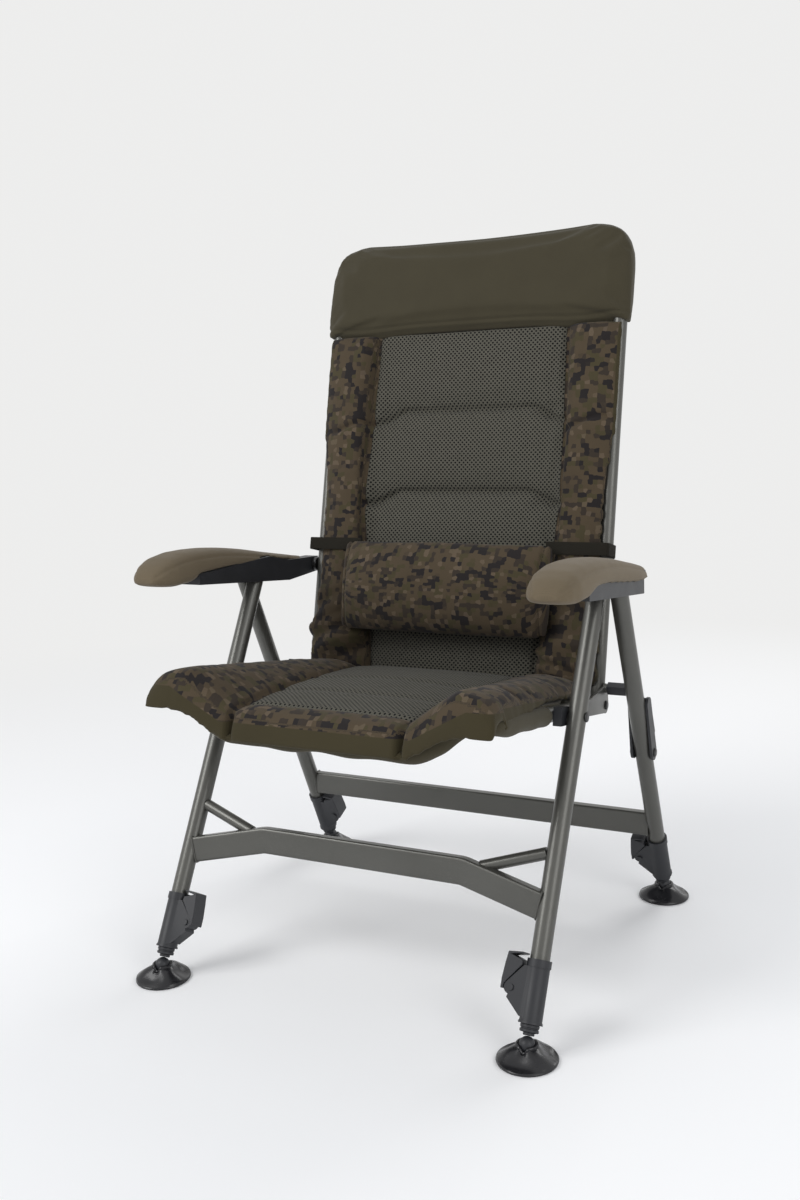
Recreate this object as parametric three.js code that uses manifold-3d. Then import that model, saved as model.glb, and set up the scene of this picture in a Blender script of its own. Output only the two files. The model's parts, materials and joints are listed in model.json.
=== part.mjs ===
// A folding carp fishing chair: two crossed leg frames, a slung seat, a reclining back,
// armrests with a notched track, and four legs that extend on cam clamps with swivel mud feet.
// Millimetres, +Z up. The chair faces -Y and stands on z = 0, with its origin on the floor under
// the middle of its box. Left and right are the sitter's: left is +X.

import * as THREE from "three";
import { mergeVertices } from "three/addons/utils/BufferGeometryUtils.js";
import Module from "manifold-3d";

const wasm = await Module();
wasm.setup();

// Clearances and overruns
const FIT = 0.3;
const RUNNING_GAP = 0.4;
const OVERRUN = 5;
const MERGE_DISTANCE = 0.0001;
const PAD_GAP = 1.5;

// Leg frames, seen from the side: the legs meet at the pin under the armrests
const LEG_TOP_BACK = 326;
const LEG_TOP_UP = 562;
const REAR_FOOT_BACK = 574;
const LEG_RADIUS = 13;
const LEG_WALL = 1.5;
const LEG_OVER_PIN = 9;
const LEG_GAP = 4;
const PIN_RADIUS = 5;
const BOLT_RADIUS = 4;
const BOLT_HEAD_RADIUS = 7;
const BOLT_HEAD = 2.5;
const BAR_HEIGHT = 38;
const BAR_DEPTH = 16;
const BAR_EDGE = 3;
const FRONT_BAR_UP = 195;
const FRONT_BAR_RISE = 32;
const FRONT_BAR_BEND_SIDE = 160;
const REAR_BAR_UP = 158;
const BRACE_RADIUS = 8.5;
const BRACE_LEG_UP = 285;

// Seat: its frame pivots on the front legs and carries the back hinge at its rear
const SEAT_PIVOT_UP = 455.5;
const SEAT_PIVOT_REACH = 203;
const SEAT_TILT_DEGREES = 10.4;
const RAIL_SIDE = 251;
const RAIL_RADIUS = 11;
const HINGE_GAP = 3;
const RAIL_JOG_START = 92;
const RAIL_JOG_END = 130;
const SEAT_FRAME_LENGTH = 406;
const SEAT_CORNER_RADIUS = 45;
const FRONT_RAIL_DROP = 44;
const FRONT_RAIL_FLAT_SIDE = 150;
const FRONT_RAIL_SLOPE_SIDE = 214;
const SEAT_SAG_POWER = 1.6;
const SLING_EASE = 9;
const SEAT_TUBE_RADIUS = 9;
const SEAT_LEG_GAP = 13;
const SEAT_BRACKET_WIDTH = 26;
const HINGE_PLATE = 3.7;
const HINGE_PLATE_RADIUS = 13;
const PLATE_LOWER_DEGREES = -110;
const PLATE_UPPER_DEGREES = 20;
const PLATE_REAR_DEGREES = 160;
const LINK_PIVOT_UP = 26;
const LINK_PIVOT_AHEAD = 3;

// Links between the seat hinge and the rear legs
const LINK_LEG_UP = 309.3;
const LINK_WALL = 4;
const LINK_EYE_RADIUS = 12;
const LINK_ARM_HEIGHT = 15;
const LINK_ARM_DEPTH = 12;
const LINK_WEB_START = 28;
const LINK_WEB_END = 92;
const LINK_WEB_WALL = 3.5;
const LINK_FLANGE_REACH = 9;
const LINK_EYE_TURN_DEGREES = -10;
const LINK_TIP_TURN_DEGREES = -15;

// Back: a bent tube with a sling, a padded cover and a headrest
const BACK_LEAN_DEGREES = 14.26;
const BACK_LENGTH = 738;
const BACK_CORNER_RADIUS = 62;
const BACK_TUBE_RADIUS = 11;
const BACK_CROSS_UP = 24;
const BACK_CROSS_BEHIND = 26;
const BACK_CROSS_RADIUS = 8;
const ARM_PIVOT_UP = 203;

// Armrests
const ARM_WALL = 2.8;
const ARM_SIDE_GAP = 1.7;
const ARM_INNER_GAP = 8;
const ARM_BUSH_RADIUS = 12;
const ARM_BOSS_RADIUS = 12.5;
const ARM_BOSS_LENGTH = 25;
const ARM_NOSE_REACH = 418;
const ARM_CREST = 36;
const ARM_BASE_REACH = 332;
const ARM_WALL_REACH = 80;
const ARM_TAIL = 12;
const ARM_TOOTH_PITCH = 14;
const ARM_TOOTH_HEIGHT = 9;
const ARM_TEETH = 10;
const ARM_TOOTH_START_SHARE = 0.47;
const ARM_KNEE_SHARE = 0.25;
const ARM_ROOF_START_SHARE = 0.42;
const ARM_BELLY_SHARE = 0.6;
const ARM_KNEE_UP_SHARE = 0.62;
const ARM_FRONT_UP_SHARE = 0.55;
const ARM_TAIL_UP_SHARE = 0.3;
const ARM_TAIL_EASE_SHARES = [0.02, 0.22];
const ARM_NOSE_SHARE = 0.14;
const ARM_NOSE_WIDTH_SHARE = 0.35;
const ARM_RIM_SHARE = 0.25;
const ARM_PAD_OVERLAP_IN = 1.5;
const ARM_PAD_OVERLAP_OUT = 8.5;

// Leg ends: clamp, extension leg, ball and mud foot
const CLAMP_HEIGHT = 80;
const CLAMP_WALL = 2;
const CLAMP_BAND = 10;
const CLAMP_FLARE = 1.2;
const CLAMP_LEDGE = 7;
const CLAMP_HALF_DEPTH = 12;
const CLAMP_SCREW_REACH = 30;
const CLAMP_SCREW_UP = 40;
const CLAMP_TIP_RADIUS = 9;
const CLAMP_SCREW_RADIUS = 4.5;
const CLAMP_SCREW_HEAD = 2;
const LEVER_THICKNESS = 4;
const LEVER_LIP = 6;
const LEVER_START_DEGREES = -15;
const LEVER_HEEL_DEGREES = 10;
const OPEN_END_DEGREES = -75;
const TANGENT_DEGREES = 33;
const EXTENSION_GAP = 0.3;
const EXTENSION_INSIDE = 230;
const STEM_RADIUS = 7.5;
const COLLAR_RADIUS = 12.5;
const COLLAR_HEIGHT = 10;
const COLLAR_REACH = 15;
const BALL_RADIUS = 11;
const BALL_UP = 21;
const FOOT_RADIUS = 41;
const FOOT_RIM = 5;
const FOOT_BOSS_RADIUS = 15;
const FOOT_BOSS_UP = 24;
const FOOT_FLOOR = 9;
const FOOT_CHANNEL_RADIUS = 9.5;

// Soft parts
const SLING = 3;
const SEAT_PAD_THICKNESS = 26;
const SEAT_BOLSTER_THICKNESS = 31;
const SEAT_ROLL_THICKNESS = 40;
const SEAT_ROLL_DEPTH = 14;
const SEAT_PAD_OVER_RAIL = 11;
const SEAT_PAD_REAR_INSET = 7;
const SEAT_PANEL_FRONT_SIDE = 130;
const SEAT_PANEL_REAR_SIDE = 146;
const SEAT_PAD_START = 26;
const SEAT_CORNER_AHEAD = 12;
const CORNER_SIDE_SHARES = [0.5, 0.95];
const CORNER_START_SHARE = 0.75;
const CHANNEL_DEPTH = 7;
const CHANNEL_WIDTH = 16;
const BACK_PAD_START = 34;
const BACK_PAD_OVER_TUBE = 12;
const BACK_PAD_LOWER_INSET = 1;
const BACK_PANEL_SIDE = 168;
const BACK_SAG = 12;
const BACK_SAG_END_SHARE = 0.4;
const BACK_BOLSTER_FRONT = 31;
const BACK_PANEL_FRONT = 5;
const BACK_SEAM_DROP = 143;
const BACK_SEAM_SPACING = 142;
const BACK_SEAM_RISE = 18;
const HEADREST_DROP = 141;
const HEADREST_OVER_TUBE = 17;
const HEADREST_OVER_TOP = 22;
const HEADREST_DIP = 6;
const HEADREST_CORNER = 58;
const HEADREST_THICKNESS = 42;
const PILLOW_SIDE = 182;
const PILLOW_UP = 166;
const PILLOW_HEIGHT = 146;
const PILLOW_THICKNESS = 81;
const PILLOW_FRONT = 42;
const PILLOW_OFFSET_SHARE = 0.205;
const STRAP_UP = 226;
const STRAP_WIDTH = 20;
const STRAP_THICKNESS = 1.5;
const STRAP_END_SIDE = 164;

// How full each pad stays towards its rim: a higher power keeps it full further out
const FULLNESS = {
  seatSides: 10,
  seatEnds: 14,
  backSides: 8,
  backEnds: 20,
  headSides: 8,
  headTop: 9,
  pillowEnds: 5,
  pillowHeight: 2.4,
  armSides: 4,
  armEnds: 16,
  armNose: 2.2,
};

// Smoothness
const TUBE_SIDES = 12;
const LEG_SIDES = 18;
const SMALL_SIDES = 10;
const BEND_STEPS = 4;
const ARC_STEPS = 8;
const SHORT_ARC_STEPS = 6;
const LEVER_STEPS = 3;
const BEND_REACH_SHARE = 0.49;
const TANGENT_STEP_SHARE = 0.25;
const QUARTER_TURN = 90;
const HALF_TURN = 180;

// Derived places
const FRONT_LEG_SIDE = RAIL_SIDE + RAIL_RADIUS + SEAT_LEG_GAP + LEG_RADIUS;
const REAR_LEG_SIDE = FRONT_LEG_SIDE + 2 * LEG_RADIUS + LEG_GAP;
const REAR_LEG_RUN = REAR_FOOT_BACK - LEG_TOP_BACK;
const FRONT_LEAN = Math.atan2(LEG_TOP_BACK, LEG_TOP_UP);
const REAR_LEAN = Math.atan2(REAR_LEG_RUN, LEG_TOP_UP);
const FRONT_REACH = Math.hypot(LEG_TOP_BACK, LEG_TOP_UP);
const REAR_REACH = Math.hypot(REAR_LEG_RUN, LEG_TOP_UP);
const SEAT_PAD_SIDE = RAIL_SIDE + SEAT_PAD_OVER_RAIL;
const SEAT_PAD_REAR_SIDE = RAIL_SIDE - SEAT_PAD_REAR_INSET;
const BACK_PAD_SIDE = RAIL_SIDE + BACK_PAD_OVER_TUBE;
const BACK_PAD_LOWER_SIDE = RAIL_SIDE - BACK_PAD_LOWER_INSET;
const HEADREST_SIDE = RAIL_SIDE + HEADREST_OVER_TUBE;
const HEADREST_START = BACK_LENGTH - HEADREST_DROP;
const HEADREST_TOP = BACK_LENGTH + HEADREST_OVER_TOP;
const BACK_SEAM_UP = HEADREST_START - BACK_SEAM_DROP;
const BACK_LOWER_SEAM_UP = BACK_SEAM_UP - BACK_SEAM_SPACING;
const RAIL_REAR_SIDE = RAIL_SIDE - RAIL_RADIUS - BACK_TUBE_RADIUS - HINGE_GAP;
const PLATE_INNER = RAIL_SIDE + RAIL_RADIUS + FIT;
const PLATE_OUTER = PLATE_INNER + HINGE_PLATE;
const LINK_INNER = REAR_LEG_SIDE - LEG_RADIUS - FIT - LINK_WALL;
const LINK_OUTER = REAR_LEG_SIDE + LEG_RADIUS + FIT;
const ARM_INNER = RAIL_SIDE + BACK_TUBE_RADIUS + ARM_INNER_GAP;
const ARM_OUTER = REAR_LEG_SIDE + LEG_RADIUS + ARM_SIDE_GAP + ARM_WALL;

const STEEL = { color: 0x56574f, roughness: 0.42, metalness: 0.75 };
const BLACK_PLASTIC = { color: 0x191a1c, roughness: 0.55, metalness: 0 };
const GLOSS_BLACK = { color: 0x0e0f11, roughness: 0.28, metalness: 0 };
const BOLT_STEEL = { color: 0x2b2b2c, roughness: 0.4, metalness: 0.6 };
const KHAKI = { color: 0x6b624c, roughness: 0.9, metalness: 0 };
const OLIVE = { color: 0x3f3c2b, roughness: 0.92, metalness: 0 };
const CAMO = { color: 0x40392a, roughness: 0.92, metalness: 0 };

const point = (x, y, z) => new THREE.Vector3(x, y, z);
const flat = (x, y) => new THREE.Vector2(x, y);
const mix = THREE.MathUtils.lerp;
const ease = THREE.MathUtils.smoothstep;

// Frames: each leg plane has its Z along the legs, the seat and back have Y rearward
const chair = new THREE.Group();
const frontPlane = new THREE.Group();
frontPlane.rotation.x = -FRONT_LEAN;
const rearPlane = new THREE.Group();
rearPlane.position.y = REAR_FOOT_BACK;
rearPlane.rotation.x = REAR_LEAN;
const seatPlane = new THREE.Group();
seatPlane.rotation.x = -THREE.MathUtils.degToRad(SEAT_TILT_DEGREES);
const backPlane = new THREE.Group();
backPlane.rotation.x = -THREE.MathUtils.degToRad(BACK_LEAN_DEGREES);
const armPlane = new THREE.Group();
chair.add(frontPlane, rearPlane, seatPlane, backPlane, armPlane);
chair.updateMatrixWorld(true);
const seatPivot = frontPlane.localToWorld(point(0, 0, SEAT_PIVOT_UP));
seatPlane.position.copy(seatPivot);
chair.updateMatrixWorld(true);
seatPlane.position.copy(seatPlane.localToWorld(point(0, SEAT_PIVOT_REACH, 0)));
backPlane.position.copy(seatPlane.position);
chair.updateMatrixWorld(true);
armPlane.position.copy(backPlane.localToWorld(point(0, 0, ARM_PIVOT_UP)));
chair.updateMatrixWorld(true);

function place(name, geometry, finish, parent) {
  const mesh = new THREE.Mesh(geometry, new THREE.MeshStandardMaterial(finish));
  mesh.name = name;
  parent.add(mesh);
  return mesh;
}

// Solids
function toSolid(geometry) {
  const bare = geometry.index ? geometry.toNonIndexed() : geometry.clone();
  bare.deleteAttribute("normal");
  bare.deleteAttribute("uv");
  const merged = mergeVertices(bare, MERGE_DISTANCE);
  const mesh = new wasm.Mesh({
    numProp: 3,
    vertProperties: merged.attributes.position.array,
    triVerts: new Uint32Array(merged.index.array),
  });
  return new wasm.Manifold(mesh);
}

function toGeometry(solid) {
  const mesh = solid.getMesh();
  const geometry = new THREE.BufferGeometry();
  geometry.setAttribute("position", new THREE.BufferAttribute(mesh.vertProperties, 3));
  geometry.setIndex(new THREE.BufferAttribute(mesh.triVerts, 1));
  geometry.computeVertexNormals();
  return geometry;
}

function cut(geometry, tools) {
  let solid = toSolid(geometry);
  for (const tool of tools) {
    solid = solid.subtract(toSolid(tool));
  }
  return toGeometry(solid);
}

function join(geometries) {
  let solid = toSolid(geometries[0]);
  for (const other of geometries.slice(1)) {
    solid = solid.add(toSolid(other));
  }
  return toGeometry(solid);
}

function turnFacesRound(geometry) {
  const loose = geometry.index ? geometry.toNonIndexed() : geometry.clone();
  const places = loose.getAttribute("position");
  const first = point(0, 0, 0);
  const last = point(0, 0, 0);
  for (let i = 0; i < places.count; i += 3) {
    first.fromBufferAttribute(places, i);
    last.fromBufferAttribute(places, i + 2);
    places.setXYZ(i, last.x, last.y, last.z);
    places.setXYZ(i + 2, first.x, first.y, first.z);
  }
  loose.computeVertexNormals();
  return loose;
}

function onSide(geometry, sign) {
  const copy = geometry.clone();
  return sign > 0 ? copy : turnFacesRound(copy.scale(sign, 1, 1));
}

function facingOut(geometry) {
  return toSolid(geometry).volume() < 0 ? turnFacesRound(geometry) : geometry;
}

// Primitive shapes
function ringOfPoints(radius, sides) {
  const points = [];
  for (let i = 0; i < sides; i += 1) {
    const turn = (i / sides) * 2 * Math.PI;
    points.push(flat(radius * Math.cos(turn), radius * Math.sin(turn)));
  }
  return points;
}

function onArc(centre, radius, degrees) {
  const turn = THREE.MathUtils.degToRad(degrees);
  return flat(centre.x + radius * Math.cos(turn), centre.y + radius * Math.sin(turn));
}

function arcPoints(centre, radius, from, to, steps) {
  const points = [];
  for (let i = 0; i <= steps; i += 1) {
    points.push(onArc(centre, radius, mix(from, to, i / steps)));
  }
  return points;
}

function halfCircle(centre, radius, from) {
  return arcPoints(centre, radius, from, from + HALF_TURN, ARC_STEPS);
}

function rod(from, to, radius, sides = SMALL_SIDES) {
  const along = to.clone().sub(from);
  const geometry = new THREE.CylinderGeometry(radius, radius, along.length(), sides);
  const turn = new THREE.Quaternion().setFromUnitVectors(point(0, 1, 0), along.clone().normalize());
  geometry.applyQuaternion(turn);
  const middle = from.clone().lerp(to, 0.5);
  return geometry.translate(middle.x, middle.y, middle.z);
}

function acrossRod(from, to, y, z, radius, sides = SMALL_SIDES) {
  return rod(point(from, y, z), point(to, y, z), radius, sides);
}

function upRod(x, from, to, radius, sides = LEG_SIDES) {
  return rod(point(x, 0, from), point(x, 0, to), radius, sides);
}

// An outline in the Y and Z plane, made solid along X
const sideTurn = new THREE.Matrix4().makeBasis(point(0, 1, 0), point(0, 0, 1), point(1, 0, 0));

function sideSlab(outline, from, to) {
  const options = { depth: to - from, bevelEnabled: false };
  const geometry = new THREE.ExtrudeGeometry(new THREE.Shape(outline), options);
  return geometry.applyMatrix4(sideTurn).translate(from, 0, 0);
}

// An outline in the X and Z plane, made solid over both sides of Y
function faceSlab(outline, halfDepth, edge = 0) {
  const options = {
    depth: 2 * (halfDepth - edge),
    bevelEnabled: edge > 0,
    bevelThickness: edge,
    bevelSize: edge,
    bevelOffset: -edge,
    bevelSegments: 2,
  };
  const geometry = new THREE.ExtrudeGeometry(new THREE.Shape(outline), options);
  const turn = new THREE.Matrix4().makeBasis(point(1, 0, 0), point(0, 0, 1), point(0, -1, 0));
  return geometry.applyMatrix4(turn).translate(0, halfDepth - edge, 0);
}

// An outline in the X and Y plane, made solid along Z
function planSlab(outline, from, to) {
  const options = { depth: to - from, bevelEnabled: false };
  return new THREE.ExtrudeGeometry(new THREE.Shape(outline), options).translate(0, 0, from);
}

// A profile of radius and height, turned about Z
function turned(profile, sides) {
  return new THREE.LatheGeometry(profile, sides).rotateX(Math.PI / 2);
}

// A route through given stations, with one ring of the tube at each
class Route extends THREE.Curve {
  constructor(stations) {
    super();
    this.stations = stations;
  }

  getPoint(share, target = new THREE.Vector3()) {
    const last = this.stations.length - 1;
    const spot = THREE.MathUtils.clamp(share, 0, 1) * last;
    const index = Math.min(Math.floor(spot), last - 1);
    return target.lerpVectors(this.stations[index], this.stations[index + 1], spot - index);
  }

  getPointAt(share, target) {
    return this.getPoint(share, target);
  }

  getTangentAt(share, target = new THREE.Vector3()) {
    const step = TANGENT_STEP_SHARE / (this.stations.length - 1);
    const ahead = this.getPoint(share + step);
    const behind = this.getPoint(share - step);
    return target.copy(ahead).sub(behind).normalize();
  }
}

// Stations along a polyline whose corners are rounded to a radius
function bentRoute(corners, radius, steps = BEND_STEPS) {
  const stations = [corners[0]];
  for (let i = 1; i < corners.length - 1; i += 1) {
    const toBefore = corners[i - 1].clone().sub(corners[i]);
    const toAfter = corners[i + 1].clone().sub(corners[i]);
    const halfTurn = (Math.PI - toBefore.angleTo(toAfter)) / 2;
    const wanted = radius * Math.tan(halfTurn);
    const most = Math.min(toBefore.length(), toAfter.length()) * BEND_REACH_SHARE;
    const reach = Math.min(wanted, most);
    const start = corners[i].clone().add(toBefore.setLength(reach));
    const end = corners[i].clone().add(toAfter.setLength(reach));
    stations.push(...new THREE.QuadraticBezierCurve3(start, corners[i], end).getPoints(steps));
  }
  stations.push(corners[corners.length - 1]);
  return new Route(stations);
}

function pipe(route, radius, sides = TUBE_SIDES) {
  const section = new THREE.Shape(ringOfPoints(radius, sides));
  const options = { steps: route.stations.length - 1, extrudePath: route, bevelEnabled: false };
  return new THREE.ExtrudeGeometry(section, options);
}

// A soft body between two surfaces over a grid of shares, walled in round its rim
function padBody(acrossShares, alongShares, front, back) {
  const places = [];
  const triangles = [];
  const width = acrossShares.length;
  const count = width * alongShares.length;
  for (const surface of [front, back]) {
    for (const along of alongShares) {
      for (const across of acrossShares) {
        places.push(...surface(across, along).toArray());
      }
    }
  }
  const quad = (a, b, c, d) => triangles.push(a, b, c, a, c, d);
  for (let row = 0; row < alongShares.length - 1; row += 1) {
    for (let column = 0; column < width - 1; column += 1) {
      const corner = row * width + column;
      quad(corner, corner + 1, corner + width + 1, corner + width);
      const behind = corner + count;
      quad(behind, behind + width, behind + width + 1, behind + 1);
    }
  }
  const columns = acrossShares.map((share, column) => column);
  const rows = alongShares.map((share, row) => row * width);
  const rim = [
    ...columns,
    ...rows.slice(1).map((start) => start + width - 1),
    ...columns.slice(0, -1).reverse().map((column) => count - width + column),
    ...rows.slice(1, -1).reverse(),
  ];
  rim.forEach((corner, index) => {
    const next = rim[(index + 1) % rim.length];
    quad(next, corner, corner + count, next + count);
  });
  const geometry = new THREE.BufferGeometry();
  geometry.setAttribute("position", new THREE.Float32BufferAttribute(places, 3));
  geometry.setIndex(triangles);
  const loose = mergeVertices(geometry, MERGE_DISTANCE);
  const kept = [];
  for (let i = 0; i < loose.index.count; i += 3) {
    const corners = [0, 1, 2].map((step) => loose.index.getX(i + step));
    if (new Set(corners).size === corners.length) {
      kept.push(...corners);
    }
  }
  loose.setIndex(kept);
  return facingOut(loose);
}

// How full a pad is at a share across it: 1 in the middle, 0 at the rim
const fullness = (share, power) => Math.sqrt(Math.max(0, 1 - Math.abs(share) ** power));

// How deep a stitched channel is at a distance from its middle: 1 in the middle, fading to 0
const notch = (distance) => Math.exp(-((distance / (CHANNEL_WIDTH / 2)) ** 2));

const bothSides = (shares) => [...shares.slice(1).reverse().map((share) => -share), ...shares];
const EDGE_SHARES = bothSides([0, 0.25, 0.46, 0.56, 0.64, 0.72, 0.85, 0.93, 0.965, 0.988, 1]);
const PLAIN_SHARES = bothSides([0, 0.3, 0.6, 0.82, 0.94, 0.985, 1]);
const HEAD_SHARES = bothSides([0, 0.35, 0.7, 0.87, 0.94, 0.975, 1]);
const SLING_SHARES = bothSides([0, 0.35, 0.62, 0.8, 0.95, 1]);
const LENGTH_SHARES = [0, 0.2, 0.4, 0.55, 0.7, 0.8, 0.88, 0.94, 0.975, 1];

// Legs
function legTube(side, bottom, top, boltPlaces) {
  const section = new THREE.Shape(ringOfPoints(LEG_RADIUS, LEG_SIDES));
  section.holes.push(new THREE.Path(ringOfPoints(LEG_RADIUS - LEG_WALL, LEG_SIDES)));
  const options = { depth: top - bottom, bevelEnabled: false };
  const tube = new THREE.ExtrudeGeometry(section, options).translate(side, 0, bottom);
  const reach = LEG_RADIUS + OVERRUN;
  const holes = boltPlaces.map(([up, radius]) =>
    acrossRod(side - reach, side + reach, 0, up, radius + FIT)
  );
  return cut(tube, holes);
}

const frontBall = BALL_UP / Math.cos(FRONT_LEAN);
const rearBall = BALL_UP / Math.cos(REAR_LEAN);
const clampStart = (ball) => ball + COLLAR_REACH + COLLAR_HEIGHT + FIT;
const tubeStart = (ball) => clampStart(ball) + CLAMP_LEDGE + FIT;

function barOutline(endUp, middleUp, side, grow) {
  const half = BAR_HEIGHT / 2 + grow;
  const top = [
    flat(side, endUp + half),
    flat(FRONT_BAR_BEND_SIDE, middleUp + half),
    flat(-FRONT_BAR_BEND_SIDE, middleUp + half),
    flat(-side, endUp + half),
  ];
  const bottom = [
    flat(-side, endUp - half),
    flat(-FRONT_BAR_BEND_SIDE, middleUp - half),
    flat(FRONT_BAR_BEND_SIDE, middleUp - half),
    flat(side, endUp - half),
  ];
  return [...top, ...bottom];
}

function legCutters(side, up) {
  const reach = 2 * BAR_HEIGHT;
  return [side, -side].map((x) => upRod(x, up - reach, up + reach, LEG_RADIUS + FIT));
}

function makeFrontFrame() {
  const bolts = [
    [SEAT_PIVOT_UP, BOLT_RADIUS],
    [FRONT_REACH, PIN_RADIUS],
  ];
  const leg = legTube(FRONT_LEG_SIDE, tubeStart(frontBall), FRONT_REACH + LEG_OVER_PIN, bolts);
  const middleUp = FRONT_BAR_UP + FRONT_BAR_RISE;
  const barLine = barOutline(FRONT_BAR_UP, middleUp, FRONT_LEG_SIDE, 0);
  const bar = faceSlab(barLine, BAR_DEPTH / 2, BAR_EDGE);
  const barGeometry = cut(bar, legCutters(FRONT_LEG_SIDE, FRONT_BAR_UP));
  place("front_crossbar", barGeometry, STEEL, frontPlane);
  const grownLine = barOutline(FRONT_BAR_UP, middleUp, FRONT_LEG_SIDE + OVERRUN, FIT);
  const grownBar = faceSlab(grownLine, BAR_DEPTH);
  const braceTop = point(FRONT_LEG_SIDE, 0, BRACE_LEG_UP);
  const braceFoot = point(FRONT_BAR_BEND_SIDE, 0, middleUp);
  const brace = cut(rod(braceFoot, braceTop, BRACE_RADIUS, TUBE_SIDES), [
    grownBar,
    upRod(FRONT_LEG_SIDE, FRONT_BAR_UP, BRACE_LEG_UP + 2 * BAR_HEIGHT, LEG_RADIUS + FIT),
  ]);
  const pinInner = ARM_INNER + ARM_WALL + RUNNING_GAP;
  const pinOuter = ARM_OUTER - ARM_WALL - RUNNING_GAP;
  const pin = acrossRod(pinInner, pinOuter, 0, FRONT_REACH, PIN_RADIUS);
  const boltStart = RAIL_SIDE - RAIL_RADIUS;
  const legFace = FRONT_LEG_SIDE + LEG_RADIUS + FIT;
  const shank = acrossRod(boltStart, legFace + BOLT_HEAD, 0, SEAT_PIVOT_UP, BOLT_RADIUS);
  const head = acrossRod(legFace, legFace + BOLT_HEAD, 0, SEAT_PIVOT_UP, BOLT_HEAD_RADIUS);
  const bolt = join([shank, head]);
  for (const [side, sign] of [["left", 1], ["right", -1]]) {
    place(`front_leg_${side}`, onSide(leg, sign), STEEL, frontPlane);
    place(`front_brace_${side}`, onSide(brace, sign), STEEL, frontPlane);
    place(`leg_top_pin_${side}`, onSide(pin, sign), BOLT_STEEL, frontPlane);
    place(`seat_pivot_bolt_${side}`, onSide(bolt, sign), BOLT_STEEL, frontPlane);
  }
}

function makeRearFrame() {
  const bolts = [
    [LINK_LEG_UP, BOLT_RADIUS],
    [REAR_REACH, PIN_RADIUS],
  ];
  const leg = legTube(REAR_LEG_SIDE, tubeStart(rearBall), REAR_REACH + LEG_OVER_PIN, bolts);
  const half = BAR_HEIGHT / 2;
  const barLine = [
    flat(-REAR_LEG_SIDE, REAR_BAR_UP - half),
    flat(REAR_LEG_SIDE, REAR_BAR_UP - half),
    flat(REAR_LEG_SIDE, REAR_BAR_UP + half),
    flat(-REAR_LEG_SIDE, REAR_BAR_UP + half),
  ];
  const bar = faceSlab(barLine, BAR_DEPTH / 2, BAR_EDGE);
  place("rear_crossbar", cut(bar, legCutters(REAR_LEG_SIDE, REAR_BAR_UP)), STEEL, rearPlane);
  const inner = LINK_INNER - FIT;
  const outer = LINK_OUTER + LINK_WALL + FIT;
  const bolt = join([
    acrossRod(inner - BOLT_HEAD, outer + BOLT_HEAD, 0, LINK_LEG_UP, BOLT_RADIUS),
    acrossRod(inner - BOLT_HEAD, inner, 0, LINK_LEG_UP, BOLT_HEAD_RADIUS),
    acrossRod(outer, outer + BOLT_HEAD, 0, LINK_LEG_UP, BOLT_HEAD_RADIUS),
  ]);
  for (const [side, sign] of [["left", 1], ["right", -1]]) {
    place(`rear_leg_${side}`, onSide(leg, sign), STEEL, rearPlane);
    place(`link_bolt_${side}`, onSide(bolt, sign), BOLT_STEEL, rearPlane);
  }
}

// Clamps: outlines are in reach towards the chair's middle and height above the clamp's foot
const screwSpot = flat(CLAMP_SCREW_REACH, CLAMP_SCREW_UP);

function clampPlate() {
  const foot = LEG_RADIUS;
  const outer = CLAMP_TIP_RADIUS + LEVER_THICKNESS + RUNNING_GAP;
  const shoulder = CLAMP_HEIGHT - CLAMP_BAND;
  return [
    flat(0, CLAMP_LEDGE),
    flat(foot, CLAMP_LEDGE),
    onArc(screwSpot, outer, OPEN_END_DEGREES),
    ...arcPoints(screwSpot, CLAMP_TIP_RADIUS, OPEN_END_DEGREES, TANGENT_DEGREES, ARC_STEPS),
    flat(LEG_RADIUS + CLAMP_WALL + RUNNING_GAP, shoulder),
    flat(0, shoulder),
  ];
}

function leverOutline() {
  const inner = CLAMP_TIP_RADIUS + RUNNING_GAP;
  const outer = CLAMP_TIP_RADIUS + LEVER_THICKNESS;
  const far = screwSpot.x + outer;
  const top = CLAMP_HEIGHT;
  const tip = LEG_RADIUS + CLAMP_WALL + LEVER_THICKNESS;
  return [
    ...arcPoints(screwSpot, outer, LEVER_START_DEGREES, LEVER_HEEL_DEGREES, LEVER_STEPS),
    flat(far, screwSpot.y + inner),
    flat(far - LEVER_THICKNESS / 2, top - CLAMP_BAND),
    flat(far - LEVER_THICKNESS, top + LEVER_THICKNESS),
    flat(tip, top + LEVER_LIP),
    flat(tip, top + LEVER_THICKNESS),
    flat(far - 2 * LEVER_THICKNESS, top + LEVER_THICKNESS / 4),
    flat(tip, top - LEVER_THICKNESS),
    flat(tip - LEVER_THICKNESS / 3, top - CLAMP_BAND + RUNNING_GAP),
    ...arcPoints(screwSpot, inner, TANGENT_DEGREES, LEVER_START_DEGREES, SHORT_ARC_STEPS),
  ];
}

function inward(outline, side, up) {
  return outline.map((spot) => flat(side - spot.x, up + spot.y));
}

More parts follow.
